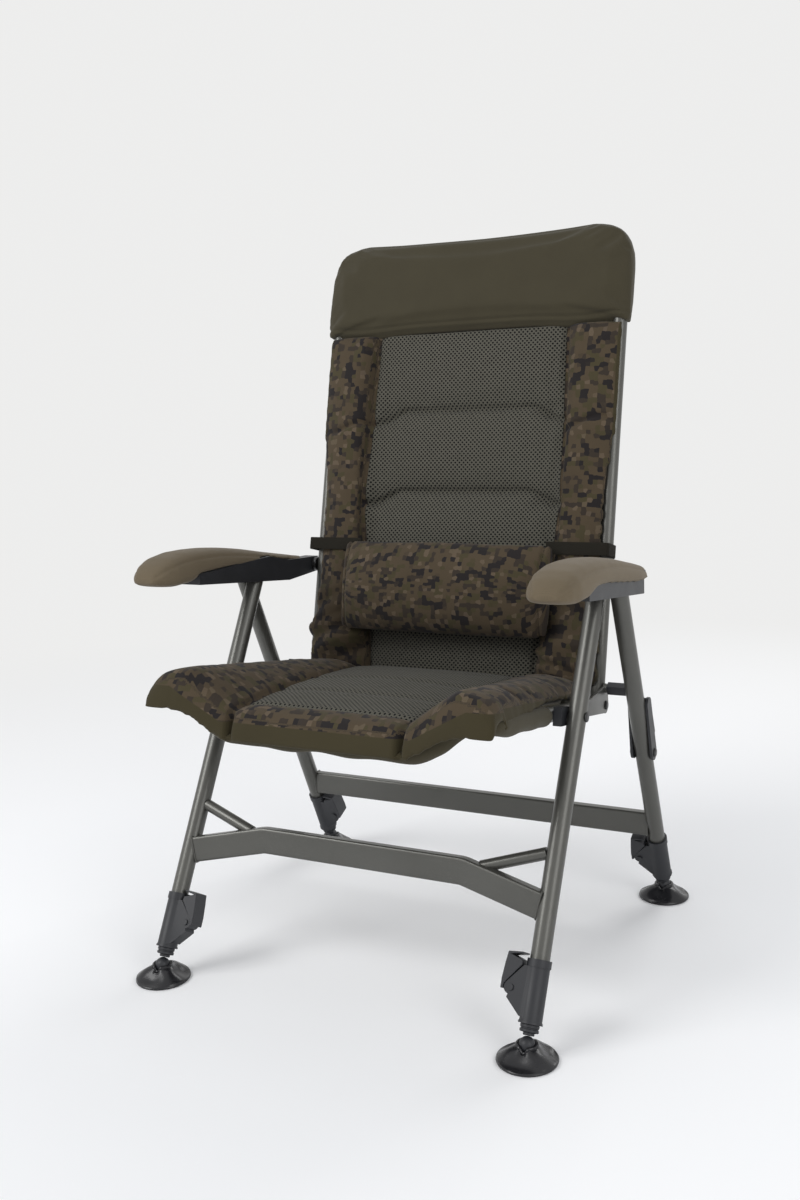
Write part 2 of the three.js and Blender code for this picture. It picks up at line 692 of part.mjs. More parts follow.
function clampHousing(side, up) {
  const radius = LEG_RADIUS + CLAMP_WALL;
  const sleeve = turned(
    [
      flat(0, up),
      flat(radius + CLAMP_FLARE, up),
      flat(radius + CLAMP_FLARE, up + CLAMP_WALL),
      flat(radius, up + 2 * CLAMP_WALL),
      flat(radius, up + CLAMP_HEIGHT - CLAMP_BAND),
      flat(radius + CLAMP_FLARE, up + CLAMP_HEIGHT - CLAMP_BAND),
      flat(radius + CLAMP_FLARE, up + CLAMP_HEIGHT),
      flat(0, up + CLAMP_HEIGHT),
    ],
    LEG_SIDES,
  ).translate(side, 0, 0);
  const plate = faceSlab(inward(clampPlate(), side, up), CLAMP_HALF_DEPTH);
  const screwX = side - CLAMP_SCREW_REACH;
  const screwEnd = CLAMP_HALF_DEPTH + CLAMP_SCREW_HEAD;
  const screwUp = up + CLAMP_SCREW_UP;
  const screwFrom = point(screwX, -screwEnd, screwUp);
  const screw = rod(screwFrom, point(screwX, screwEnd, screwUp), CLAMP_SCREW_RADIUS);
  const boreUp = up + CLAMP_LEDGE;
  const tubeBore = upRod(side, boreUp, up + CLAMP_HEIGHT + OVERRUN, LEG_RADIUS + FIT);
  const extensionRadius = LEG_RADIUS - LEG_WALL - EXTENSION_GAP;
  const legBore = upRod(side, up - OVERRUN, boreUp + FIT, extensionRadius + FIT);
  return cut(join([sleeve, plate, screw]), [tubeBore, legBore]);
}

function extensionLeg(side, ball) {
  const start = ball + BALL_RADIUS + FIT;
  const collar = ball + COLLAR_REACH;
  const collarTop = collar + COLLAR_HEIGHT;
  const radius = LEG_RADIUS - LEG_WALL - EXTENSION_GAP;
  const top = collarTop + EXTENSION_INSIDE;
  const profile = [
    flat(0, start),
    flat(STEM_RADIUS, start),
    flat(STEM_RADIUS, collar),
    flat(COLLAR_RADIUS, collar),
    flat(COLLAR_RADIUS, collarTop),
    flat(radius, collarTop),
    flat(radius, top),
    flat(0, top),
  ];
  return turned(profile, TUBE_SIDES).translate(side, 0, 0);
}

function mudFoot() {
  const pocket = BALL_RADIUS + RUNNING_GAP;
  const profile = [
    flat(0, 0),
    flat(FOOT_RADIUS - FOOT_RIM / 2, 0),
    flat(FOOT_RADIUS, FOOT_RIM / 2),
    flat(FOOT_RADIUS, FOOT_RIM),
    flat(FOOT_RADIUS - FOOT_RIM, FOOT_FLOOR),
    flat((FOOT_RADIUS + FOOT_BOSS_RADIUS) / 2, (FOOT_BOSS_UP + FOOT_FLOOR) / 2),
    flat(FOOT_BOSS_RADIUS, FOOT_BOSS_UP),
    flat(0, FOOT_BOSS_UP),
  ];
  const body = turned(profile, LEG_SIDES);
  const hollow = new THREE.SphereGeometry(pocket, TUBE_SIDES, SMALL_SIDES).translate(0, 0, BALL_UP);
  const channelEnd = FOOT_RADIUS + OVERRUN;
  const front = point(0, -channelEnd, BALL_UP);
  const rear = point(0, channelEnd, BALL_UP);
  const channel = rod(front, rear, FOOT_CHANNEL_RADIUS);
  return cut(body, [hollow, channel]);
}

function makeLegEnds() {
  const leverDepth = CLAMP_HALF_DEPTH + CLAMP_WALL;
  const ends = [
    ["front", frontPlane, FRONT_LEG_SIDE, frontBall],
    ["rear", rearPlane, REAR_LEG_SIDE, rearBall],
  ];
  for (const [end, plane, legSide, ball] of ends) {
    const up = clampStart(ball);
    const housing = clampHousing(legSide, up);
    const lever = faceSlab(inward(leverOutline(), legSide, up), leverDepth);
    const leg = extensionLeg(legSide, ball);
    const spot = plane.localToWorld(point(0, 0, ball));
    for (const [side, sign] of [["left", 1], ["right", -1]]) {
      place(`clamp_${end}_${side}`, onSide(housing, sign), BLACK_PLASTIC, plane);
      place(`cam_lever_${end}_${side}`, onSide(lever, sign), BLACK_PLASTIC, plane);
      place(`extension_leg_${end}_${side}`, onSide(leg, sign), BLACK_PLASTIC, plane);
      const ballShape = new THREE.SphereGeometry(BALL_RADIUS, TUBE_SIDES, SMALL_SIDES);
      const ballMesh = place(`foot_ball_${end}_${side}`, ballShape, BLACK_PLASTIC, chair);
      ballMesh.position.set(sign * legSide, spot.y, spot.z);
      const foot = place(`mud_foot_${end}_${side}`, mudFoot(), GLOSS_BLACK, chair);
      foot.position.set(sign * legSide, spot.y, 0);
    }
  }
}

// How far the seat hangs below its rails, by distance across and ahead of the hinge
function seatSag(x, ahead) {
  const slope = FRONT_RAIL_SLOPE_SIDE - FRONT_RAIL_FLAT_SIDE;
  const outside = Math.abs(x) - FRONT_RAIL_FLAT_SIDE + SLING_EASE;
  const aside = THREE.MathUtils.clamp(outside / slope, 0, 1);
  const share = THREE.MathUtils.clamp(ahead / SEAT_FRAME_LENGTH, 0, 1);
  return -FRONT_RAIL_DROP * (1 - aside) * share ** SEAT_SAG_POWER;
}

function seatRoute() {
  const frontAhead = -SEAT_FRAME_LENGTH;
  const half = [
    point(RAIL_REAR_SIDE, HINGE_PLATE_RADIUS, 0),
    point(RAIL_REAR_SIDE, -RAIL_JOG_START, 0),
    point(RAIL_SIDE, -RAIL_JOG_END, 0),
    point(RAIL_SIDE, frontAhead, 0),
    point(FRONT_RAIL_SLOPE_SIDE, frontAhead, 0),
    point(FRONT_RAIL_FLAT_SIDE, frontAhead, -FRONT_RAIL_DROP),
  ];
  const other = half.map((spot) => point(-spot.x, spot.y, spot.z)).reverse();
  return bentRoute([...half, ...other], SEAT_CORNER_RADIUS);
}

function makeSeatFrame() {
  const seatBoltPlace = -SEAT_PIVOT_REACH;
  const frame = pipe(seatRoute(), RAIL_RADIUS);
  const cutters = [];
  for (const sign of [1, -1]) {
    const inner = sign * (RAIL_REAR_SIDE - 2 * RAIL_RADIUS);
    const outer = sign * (PLATE_OUTER + OVERRUN);
    cutters.push(acrossRod(inner, outer, 0, 0, BOLT_RADIUS + FIT));
    const pivotInner = sign * (RAIL_SIDE - 2 * RAIL_RADIUS);
    cutters.push(acrossRod(pivotInner, outer, seatBoltPlace, 0, BOLT_RADIUS + FIT));
  }
  const tubeEnd = RAIL_REAR_SIDE;
  const rearTube = acrossRod(-tubeEnd, tubeEnd, 0, 0, SEAT_TUBE_RADIUS, TUBE_SIDES);
  place("seat_frame", cut(join([frame, rearTube]), cutters), STEEL, seatPlane);

  const plateLine = [
    ...arcPoints(
      flat(0, 0),
      HINGE_PLATE_RADIUS,
      PLATE_LOWER_DEGREES,
      PLATE_UPPER_DEGREES,
      SHORT_ARC_STEPS,
    ),
    ...arcPoints(
      flat(-LINK_PIVOT_AHEAD, LINK_PIVOT_UP),
      LINK_ARM_HEIGHT / 2,
      PLATE_UPPER_DEGREES,
      PLATE_REAR_DEGREES,
      SHORT_ARC_STEPS,
    ),
    flat(-RAIL_JOG_START, RAIL_RADIUS),
    flat(-RAIL_JOG_END - 2 * RAIL_RADIUS, RAIL_RADIUS / 2),
    flat(-RAIL_JOG_END - 2 * RAIL_RADIUS, -RAIL_RADIUS / 2),
    flat(-RAIL_JOG_START, -RAIL_RADIUS),
  ];
  const linkPivot = acrossRod(
    PLATE_OUTER - HINGE_PLATE / 2,
    PLATE_OUTER + BOLT_HEAD,
    -LINK_PIVOT_AHEAD,
    LINK_PIVOT_UP,
    BOLT_HEAD_RADIUS,
  );
  const hingeHole = acrossRod(
    PLATE_INNER - OVERRUN,
    PLATE_OUTER + OVERRUN,
    0,
    0,
    BOLT_RADIUS + FIT,
  );
  const plate = join([sideSlab(plateLine, PLATE_INNER, PLATE_OUTER), linkPivot]);
  const hingePlate = cut(plate, [hingeHole]);

  const bracketHalf = SEAT_BRACKET_WIDTH / 2;
  const bracketInner = PLATE_INNER;
  const bracketOuter = FRONT_LEG_SIDE - LEG_RADIUS - FIT;
  const bracketLine = [
    ...arcPoints(flat(seatBoltPlace, 0), bracketHalf, -QUARTER_TURN, QUARTER_TURN, ARC_STEPS),
    flat(seatBoltPlace - 2 * bracketHalf, bracketHalf),
    flat(seatBoltPlace - 2 * bracketHalf, -bracketHalf),
  ];
  const block = sideSlab(bracketLine, bracketInner, bracketOuter);
  const pivotHole = acrossRod(
    bracketInner - OVERRUN,
    bracketOuter + OVERRUN,
    seatBoltPlace,
    0,
    BOLT_RADIUS + FIT,
  );
  const bracket = cut(block, [pivotHole]);
  for (const [side, sign] of [["left", 1], ["right", -1]]) {
    place(`hinge_plate_${side}`, onSide(hingePlate, sign), STEEL, seatPlane);
    place(`seat_bracket_${side}`, onSide(bracket, sign), BLACK_PLASTIC, seatPlane);
  }
}

function makeSeatSoft() {
  const slopeEnd = (FRONT_RAIL_SLOPE_SIDE - SLING_EASE) / SEAT_PAD_SIDE;
  const slopeStart = (FRONT_RAIL_FLAT_SIDE - SLING_EASE) / SEAT_PAD_SIDE;
  const sidePlace = (across, half) => {
    const share = Math.abs(across);
    const outerShare = Math.max(0, share - slopeEnd) / (1 - slopeEnd);
    const inside = Math.min(share, slopeEnd) * SEAT_PAD_SIDE;
    return Math.sign(across) * mix(inside, half, outerShare);
  };
  const reachOf = (along) => mix(SEAT_TUBE_RADIUS, SEAT_FRAME_LENGTH + RAIL_RADIUS, along);
  const jogShare = (ahead) => ease(ahead, RAIL_JOG_START, RAIL_JOG_END);
  const sideOf = (ahead) => mix(RAIL_REAR_SIDE, RAIL_SIDE, jogShare(ahead));
  const slingAt = (lift) => (across, along) => {
    const ahead = reachOf(along);
    const x = sidePlace(across, sideOf(ahead));
    return point(x, -ahead, RAIL_RADIUS + FIT + seatSag(x, ahead) + lift);
  };
  const slopeMiddle = (slopeStart + slopeEnd) / 2;
  const slingShares = bothSides([0, slopeStart / 2, slopeStart, slopeMiddle, slopeEnd, 1]);
  const sling = padBody(slingShares, LENGTH_SHARES, slingAt(SLING), slingAt(0));
  place("seat_sling", sling, OLIVE, seatPlane);

  const padFloor = RAIL_RADIUS + SLING + PAD_GAP;
  const tubeFace = SEAT_FRAME_LENGTH + RAIL_RADIUS + SLING;
  const padEnd = tubeFace + SEAT_ROLL_DEPTH;
  const alongShares = [0, 0.02, 0.05, 0.11, 0.2, 0.32, 0.45, 0.58, 0.7, 0.8, 0.87, 0.915, 0.945];
  const rollShares = [0.958, 0.97, 0.985, 1];
  const aheadOf = (along) => mix(SEAT_PAD_START, padEnd, along);
  const halfWidth = (ahead) => mix(SEAT_PAD_REAR_SIDE, SEAT_PAD_SIDE, ease(ahead, 0, padEnd));
  const panelSide = (ahead) => mix(SEAT_PANEL_REAR_SIDE, SEAT_PANEL_FRONT_SIDE, ahead / padEnd);
  const cornerAhead = (across, along) => {
    const aside = ease(Math.abs(across), ...CORNER_SIDE_SHARES);
    return SEAT_CORNER_AHEAD * aside * ease(along, CORNER_START_SHARE, 1);
  };
  const floorAt = (x, ahead) => {
    const overhang = ease(ahead, tubeFace, tubeFace + RAIL_RADIUS / 3);
    const hang = (SEAT_ROLL_THICKNESS - SEAT_PAD_THICKNESS) * overhang;
    return padFloor + seatSag(x, ahead) - hang;
  };
  const thicknessAt = (x, ahead, across) => {
    const fromSeam = Math.abs(x) - panelSide(ahead);
    const aside = ease(fromSeam, -CHANNEL_WIDTH, CHANNEL_WIDTH);
    const body = mix(SEAT_PAD_THICKNESS, SEAT_BOLSTER_THICKNESS, aside);
    const frontSeam = notch(ahead - (tubeFace - 3 * CHANNEL_WIDTH)) * (1 - aside);
    const dent = CHANNEL_DEPTH * Math.min(1, notch(fromSeam) + frontSeam);
    return (body - dent) * fullness(across, FULLNESS.seatSides);
  };
  const roundEnds = (along) => fullness(2 * along - 1, FULLNESS.seatEnds);
  const topAt = (across, along) => {
    const ahead = aheadOf(along);
    const x = sidePlace(across, halfWidth(ahead));
    const thick = thicknessAt(x, ahead, across) * roundEnds(along);
    const base = padFloor + seatSag(x, ahead) + (1 - roundEnds(along)) * RAIL_RADIUS / 2;
    const droop = (ease(ahead, tubeFace, padEnd) * (SEAT_ROLL_THICKNESS - SEAT_PAD_THICKNESS)) / 2;
    return point(x, -ahead - cornerAhead(across, along), base + thick - droop);
  };
  const bottomAt = (across, along) => {
    const ahead = aheadOf(along);
    const x = sidePlace(across, halfWidth(ahead));
    return point(x, -ahead - cornerAhead(across, along), floorAt(x, ahead));
  };
  const besideShares = [0.85, 0.9, 0.94, 0.97, 0.99, 1];
  const padShares = [0, 0.22, 0.4, 0.49, slopeStart, slopeMiddle, slopeEnd, ...besideShares];
  const pad = padBody(bothSides(padShares), [...alongShares, ...rollShares], topAt, bottomAt);
  place("seat_pad", pad, CAMO, seatPlane);
}

// Links: each wraps behind its rear leg and reaches in to the seat hinge
function makeLinks() {
  const pivot = point(0, -LINK_PIVOT_AHEAD, LINK_PIVOT_UP);
  const end = rearPlane.worldToLocal(seatPlane.localToWorld(pivot));
  const eye = flat(0, LINK_LEG_UP);
  const tip = flat(end.y, end.z);
  const wallLine = [
    ...halfCircle(eye, LINK_EYE_RADIUS, HALF_TURN + LINK_EYE_TURN_DEGREES),
    ...halfCircle(tip, LINK_ARM_HEIGHT / 2, LINK_TIP_TURN_DEGREES),
  ];
  const innerWall = sideSlab(wallLine, LINK_INNER, LINK_INNER + LINK_WALL);
  const armStart = PLATE_OUTER + BOLT_HEAD + FIT;
  const armLine = [
    flat(end.y - LINK_ARM_DEPTH / 2, end.z - LINK_ARM_HEIGHT / 2),
    flat(end.y + LINK_ARM_DEPTH / 2, end.z - LINK_ARM_HEIGHT / 2),
    flat(end.y + LINK_ARM_DEPTH / 2, end.z + LINK_ARM_HEIGHT / 2),
    flat(end.y - LINK_ARM_DEPTH / 2, end.z + LINK_ARM_HEIGHT / 2),
  ];
  const arm = sideSlab(armLine, armStart, LINK_INNER + LINK_WALL);
  const webStart = LEG_RADIUS + FIT;
  const flangeEnd = LINK_OUTER + LINK_WALL;
  const webLine = [
    flat(webStart, LINK_LEG_UP + LINK_WEB_START),
    flat(webStart + LINK_WEB_WALL, LINK_LEG_UP + LINK_WEB_START),
    flat(webStart + LINK_WEB_WALL, LINK_LEG_UP + LINK_WEB_END),
    flat(webStart, LINK_LEG_UP + LINK_WEB_END),
  ];
  const web = sideSlab(webLine, LINK_INNER, flangeEnd);
  const flangeTip = flat(LINK_FLANGE_REACH, LINK_LEG_UP + LINK_WEB_END - LINK_FLANGE_REACH / 2);
  const flangeLine = [
    ...halfCircle(eye, LINK_EYE_RADIUS, HALF_TURN),
    ...halfCircle(flangeTip, LINK_EYE_RADIUS - LINK_WALL / 2, 0),
  ];
  const flange = sideSlab(flangeLine, LINK_OUTER, flangeEnd);
  const hole = acrossRod(
    LINK_INNER - OVERRUN,
    flangeEnd + OVERRUN,
    0,
    LINK_LEG_UP,
    BOLT_RADIUS + FIT,
  );
  const link = cut(join([innerWall, arm, web, flange]), [hole]);
  for (const [side, sign] of [["left", 1], ["right", -1]]) {
    place(`link_${side}`, onSide(link, sign), BLACK_PLASTIC, rearPlane);
  }
}

// Back
function backRoute() {
  const half = [
    point(RAIL_SIDE, 0, -BACK_TUBE_RADIUS),
    point(RAIL_SIDE, 0, BACK_LENGTH),
  ];
  const other = half.map((spot) => point(-spot.x, spot.y, spot.z)).reverse();
  return bentRoute([...half, ...other], BACK_CORNER_RADIUS);
}

function makeBackFrame() {
  const frame = pipe(backRoute(), BACK_TUBE_RADIUS);
  const cutters = [];
  for (const sign of [1, -1]) {
    const inner = sign * (RAIL_SIDE - 2 * BACK_TUBE_RADIUS);
    const outer = sign * (RAIL_SIDE + 2 * BACK_TUBE_RADIUS);
    cutters.push(acrossRod(inner, outer, 0, 0, BOLT_RADIUS + FIT));
    cutters.push(acrossRod(inner, outer, 0, ARM_PIVOT_UP, BOLT_RADIUS + FIT));
  }
  place("back_frame", cut(frame, cutters), STEEL, backPlane);
  const crossRoute = bentRoute(
    [
      point(RAIL_SIDE, 0, BACK_CROSS_UP),
      point(RAIL_SIDE, BACK_CROSS_BEHIND, BACK_CROSS_UP),
      point(-RAIL_SIDE, BACK_CROSS_BEHIND, BACK_CROSS_UP),
      point(-RAIL_SIDE, 0, BACK_CROSS_UP),
    ],
    BACK_CROSS_RADIUS * 2,
  );
  const tubeCutters = [1, -1].map((sign) =>
    upRod(sign * RAIL_SIDE, 0, 2 * BACK_CROSS_UP, BACK_TUBE_RADIUS + FIT)
  );
  const crossTube = cut(pipe(crossRoute, BACK_CROSS_RADIUS), tubeCutters);
  place("back_cross_tube", crossTube, STEEL, backPlane);

  const shank = acrossRod(RAIL_REAR_SIDE - RAIL_RADIUS + FIT, PLATE_OUTER + FIT, 0, 0, BOLT_RADIUS);
  const headStart = PLATE_OUTER + FIT;
  const head = acrossRod(headStart, headStart + BOLT_HEAD, 0, 0, BOLT_HEAD_RADIUS);
  const bolt = join([shank, head]);
  for (const [side, sign] of [["left", 1], ["right", -1]]) {
    place(`back_hinge_bolt_${side}`, onSide(bolt, sign), BOLT_STEEL, backPlane);
  }
}

function backSag(x, up) {
  const across = Math.cos((Math.PI / 2) * Math.min(1, Math.abs(x) / RAIL_SIDE));
  const along = Math.sin(Math.PI * THREE.MathUtils.clamp(up / HEADREST_START, 0, 1));
  return BACK_SAG * across * mix(BACK_SAG_END_SHARE, 1, along);
}

function makeBackSoft() {
  const end = HEADREST_START - RUNNING_GAP;
  const upOf = (along) => mix(BACK_PAD_START, end, along);
  const slingAt = (depth) => (across, along) => {
    const up = mix(BACK_PAD_START, end, (along + 1) / 2);
    const x = across * RAIL_SIDE;
    return point(x, BACK_TUBE_RADIUS + FIT + backSag(x, up) + depth, up);
  };
  const sling = padBody(SLING_SHARES, SLING_SHARES, slingAt(0), slingAt(SLING));
  place("back_sling", sling, OLIVE, backPlane);

  const widening = (up) => ease(up, BACK_LOWER_SEAM_UP, BACK_SEAM_UP);
  const halfWidth = (up) => mix(BACK_PAD_LOWER_SIDE, BACK_PAD_SIDE, widening(up));
  const seamUp = (line, x) => {
    const outward = ease(Math.abs(x), BACK_PANEL_SIDE / 2, BACK_PANEL_SIDE);
    return line + BACK_SEAM_RISE * (1 - outward);
  };
  const frontAt = (across, along) => {
    const up = upOf(along);
    const x = across * halfWidth(up);
    const fromSeam = Math.abs(x) - BACK_PANEL_SIDE;
    const aside = ease(fromSeam, -CHANNEL_WIDTH, CHANNEL_WIDTH);
    const seams = notch(up - seamUp(BACK_SEAM_UP, x)) + notch(up - seamUp(BACK_LOWER_SEAM_UP, x));
    const dent = CHANNEL_DEPTH * Math.min(1, notch(fromSeam) + seams * (1 - aside));
    const roundSides = fullness(across, FULLNESS.backSides);
    const round = roundSides * fullness(2 * along - 1, FULLNESS.backEnds);
    const crown = mix(BACK_PANEL_FRONT, BACK_BOLSTER_FRONT, aside) - dent;
    const rim = BACK_TUBE_RADIUS + 2 * FIT;
    const sunk = (1 - aside) * (backSag(x, up) / 2) * round;
    return point(x, sunk - mix(rim, crown, round), up);
  };
  const backAt = (across, along) => {
    const up = upOf(along);
    const x = across * halfWidth(up);
    const tubeSide = RAIL_SIDE - BACK_TUBE_RADIUS - FIT;
    const over = ease(Math.abs(x), BACK_PANEL_SIDE + 3 * CHANNEL_WIDTH, tubeSide);
    const behind = BACK_TUBE_RADIUS - RUNNING_GAP + backSag(x, up);
    const inFront = -(BACK_TUBE_RADIUS + RUNNING_GAP);
    return point(x, mix(behind, inFront, over), up);
  };
  const alongShares = [0, 0.008, 0.03, 0.08, 0.13, 0.2, 0.3, 0.4, 0.46, 0.5, 0.53, 0.58, 0.66];
  const upperShares = [0.72, 0.755, 0.785, 0.82, 0.88, 0.94, 0.98, 0.995, 1];
  const pad = padBody(EDGE_SHARES, [...alongShares, ...upperShares], frontAt, backAt);
  place("back_pad", pad, CAMO, backPlane);

  const headAt = (sign) => (across, along) => {
    const cornerStart = HEADREST_TOP - HEADREST_CORNER;
    const dip = HEADREST_DIP * (1 - across ** 2) * along ** 2;
    const up = mix(HEADREST_START, HEADREST_TOP, along);
    const turn = THREE.MathUtils.clamp((up - cornerStart) / HEADREST_CORNER, 0, 1);
    const half = HEADREST_SIDE - HEADREST_CORNER * (1 - Math.sqrt(Math.max(0, 1 - turn ** 2)));
    const round = fullness(across, FULLNESS.headSides) * fullness(along, FULLNESS.headTop);
    return point(across * half, sign * (HEADREST_THICKNESS / 2) * round, up - dip);
  };
  const headShares = [0, 0.3, 0.55, 0.68, 0.78, 0.87, 0.94, 0.98, 1];
  const block = padBody(HEAD_SHARES, headShares, headAt(-1), headAt(1));
  const headrest = cut(block, [pipe(backRoute(), BACK_TUBE_RADIUS + FIT)]);
  place("headrest", headrest, OLIVE, backPlane);

  const pillowCentre = -(BACK_BOLSTER_FRONT + PILLOW_THICKNESS * PILLOW_OFFSET_SHARE);
  const pillowAt = (sign) => (across, along) => {
    const round = fullness(across, FULLNESS.pillowEnds) * fullness(along, FULLNESS.pillowHeight);
    const reach = sign < 0 ? PILLOW_FRONT : PILLOW_THICKNESS - PILLOW_FRONT;
    const depth = pillowCentre + sign * reach * round;
    return point(across * PILLOW_SIDE, depth, PILLOW_UP + along * (PILLOW_HEIGHT / 2));
  };
  const pillow = padBody(PLAIN_SHARES, PLAIN_SHARES, pillowAt(-1), pillowAt(1));
  place("lumbar_pillow", pillow, CAMO, backPlane);

  const outside = BACK_PAD_SIDE + FIT;
  const behind = BACK_TUBE_RADIUS + SLING + BACK_SAG + 2 * FIT;
  const ahead = -(BACK_BOLSTER_FRONT + FIT);
  const outerHalf = [
    flat(STRAP_END_SIDE, ahead - STRAP_THICKNESS),
    flat(outside, ahead - STRAP_THICKNESS),
    flat(outside + STRAP_THICKNESS, ahead),
    flat(outside + STRAP_THICKNESS, BACK_TUBE_RADIUS / 2),
    flat(RAIL_SIDE, behind + STRAP_THICKNESS),
  ];
  const innerHalf = [
    flat(RAIL_SIDE, behind),
    flat(outside, BACK_TUBE_RADIUS / 2),
    flat(outside, ahead),
    flat(STRAP_END_SIDE, ahead),
  ];
  const mirrored = (line) => line.map((spot) => flat(-spot.x, spot.y)).reverse();
  const strapLine = [...outerHalf, ...mirrored(outerHalf), ...mirrored(innerHalf), ...innerHalf];
  const strap = planSlab(strapLine, STRAP_UP, STRAP_UP + STRAP_WIDTH);
  place("pillow_strap", strap, OLIVE, backPlane);
}

// Armrests: lengths are along -Y from the rear pivot, heights above it
const armRoof = LEG_TOP_UP - armPlane.position.z + LEG_RADIUS + ARM_TOOTH_HEIGHT;

function armBase() {
  const reach = ARM_BASE_REACH;
  const kneeReach = reach * ARM_KNEE_SHARE;
  const roofReach = reach * ARM_ROOF_START_SHARE;
  const kneeUp = armRoof * ARM_KNEE_UP_SHARE;
  const tailUp = armRoof * ARM_TAIL_UP_SHARE;
  const cavityEnd = -ARM_BOSS_RADIUS - ARM_WALL;
  const under = -2 * ARM_BOSS_RADIUS;
  const skirt = [
    flat(ARM_TAIL, -ARM_BOSS_RADIUS),
    flat(ARM_TAIL, ARM_BOSS_RADIUS),
    flat(-kneeReach, kneeUp),
    flat(-roofReach, armRoof + ARM_WALL),
    flat(-reach, armRoof + ARM_WALL),
    flat(-reach, armRoof * ARM_FRONT_UP_SHARE),
    flat(-reach * ARM_BELLY_SHARE, -LEG_WALL),
    flat(-kneeReach, -ARM_BOSS_RADIUS - ARM_WALL),
  ];
  const body = sideSlab(skirt, ARM_INNER, ARM_OUTER);
  const hollow = [
    flat(cavityEnd, under),
    flat(cavityEnd, tailUp),
    flat(-kneeReach, kneeUp - ARM_WALL),
    flat(-roofReach, armRoof),
    flat(ARM_WALL - reach, armRoof),
    flat(ARM_WALL - reach, under),
  ];
  const cavity = sideSlab(hollow, ARM_INNER + ARM_WALL, ARM_OUTER - ARM_WALL);
  const openSide = [
    flat(-ARM_WALL_REACH, under),
    flat(-ARM_WALL_REACH, kneeUp - ARM_WALL),
    flat(cavityEnd, tailUp),
    flat(ARM_TAIL + OVERRUN, tailUp),
    flat(ARM_TAIL + OVERRUN, under),
  ];
  const sideOpening = sideSlab(openSide, ARM_INNER + ARM_BOSS_LENGTH, ARM_OUTER + OVERRUN);
  const taper = [
    flat(ARM_INNER + ARM_BOSS_LENGTH, ARM_TAIL + OVERRUN),
    flat(ARM_INNER + ARM_BOSS_LENGTH, -ARM_BOSS_RADIUS),
    flat(ARM_OUTER + OVERRUN, -ARM_WALL_REACH),
    flat(ARM_OUTER + OVERRUN, ARM_TAIL + OVERRUN),
  ];
  const taperCut = planSlab(taper, under, 2 * armRoof);
  const hole = acrossRod(
    ARM_INNER - OVERRUN,
    ARM_INNER + ARM_BOSS_LENGTH + OVERRUN,
    0,
    0,
    BOLT_RADIUS + FIT,
  );
  const shell = cut(body, [cavity, sideOpening, taperCut, hole]);
  const teeth = [];
  const firstTooth = -reach * ARM_TOOTH_START_SHARE;
  const toothWidth = ARM_TOOTH_PITCH / 2;
  const walls = [
    [ARM_INNER + ARM_WALL / 2, ARM_INNER + ARM_WALL + ARM_SIDE_GAP / 2],
    [ARM_OUTER - ARM_WALL - ARM_SIDE_GAP / 2, ARM_OUTER - ARM_WALL / 2],
  ];
  for (let i = 0; i < ARM_TEETH; i += 1) {
    const start = firstTooth - i * ARM_TOOTH_PITCH;
    const tooth = [
      flat(start, armRoof + ARM_WALL / 2),
      flat(start - toothWidth, armRoof + ARM_WALL / 2),
      flat(start - toothWidth, armRoof - ARM_TOOTH_HEIGHT),
      flat(start, armRoof - ARM_TOOTH_HEIGHT),
    ];
    for (const [from, to] of walls) {
      teeth.push(facingOut(sideSlab(tooth, from, to)));
    }
  }
  return { body, base: join([shell, ...teeth]) };
}

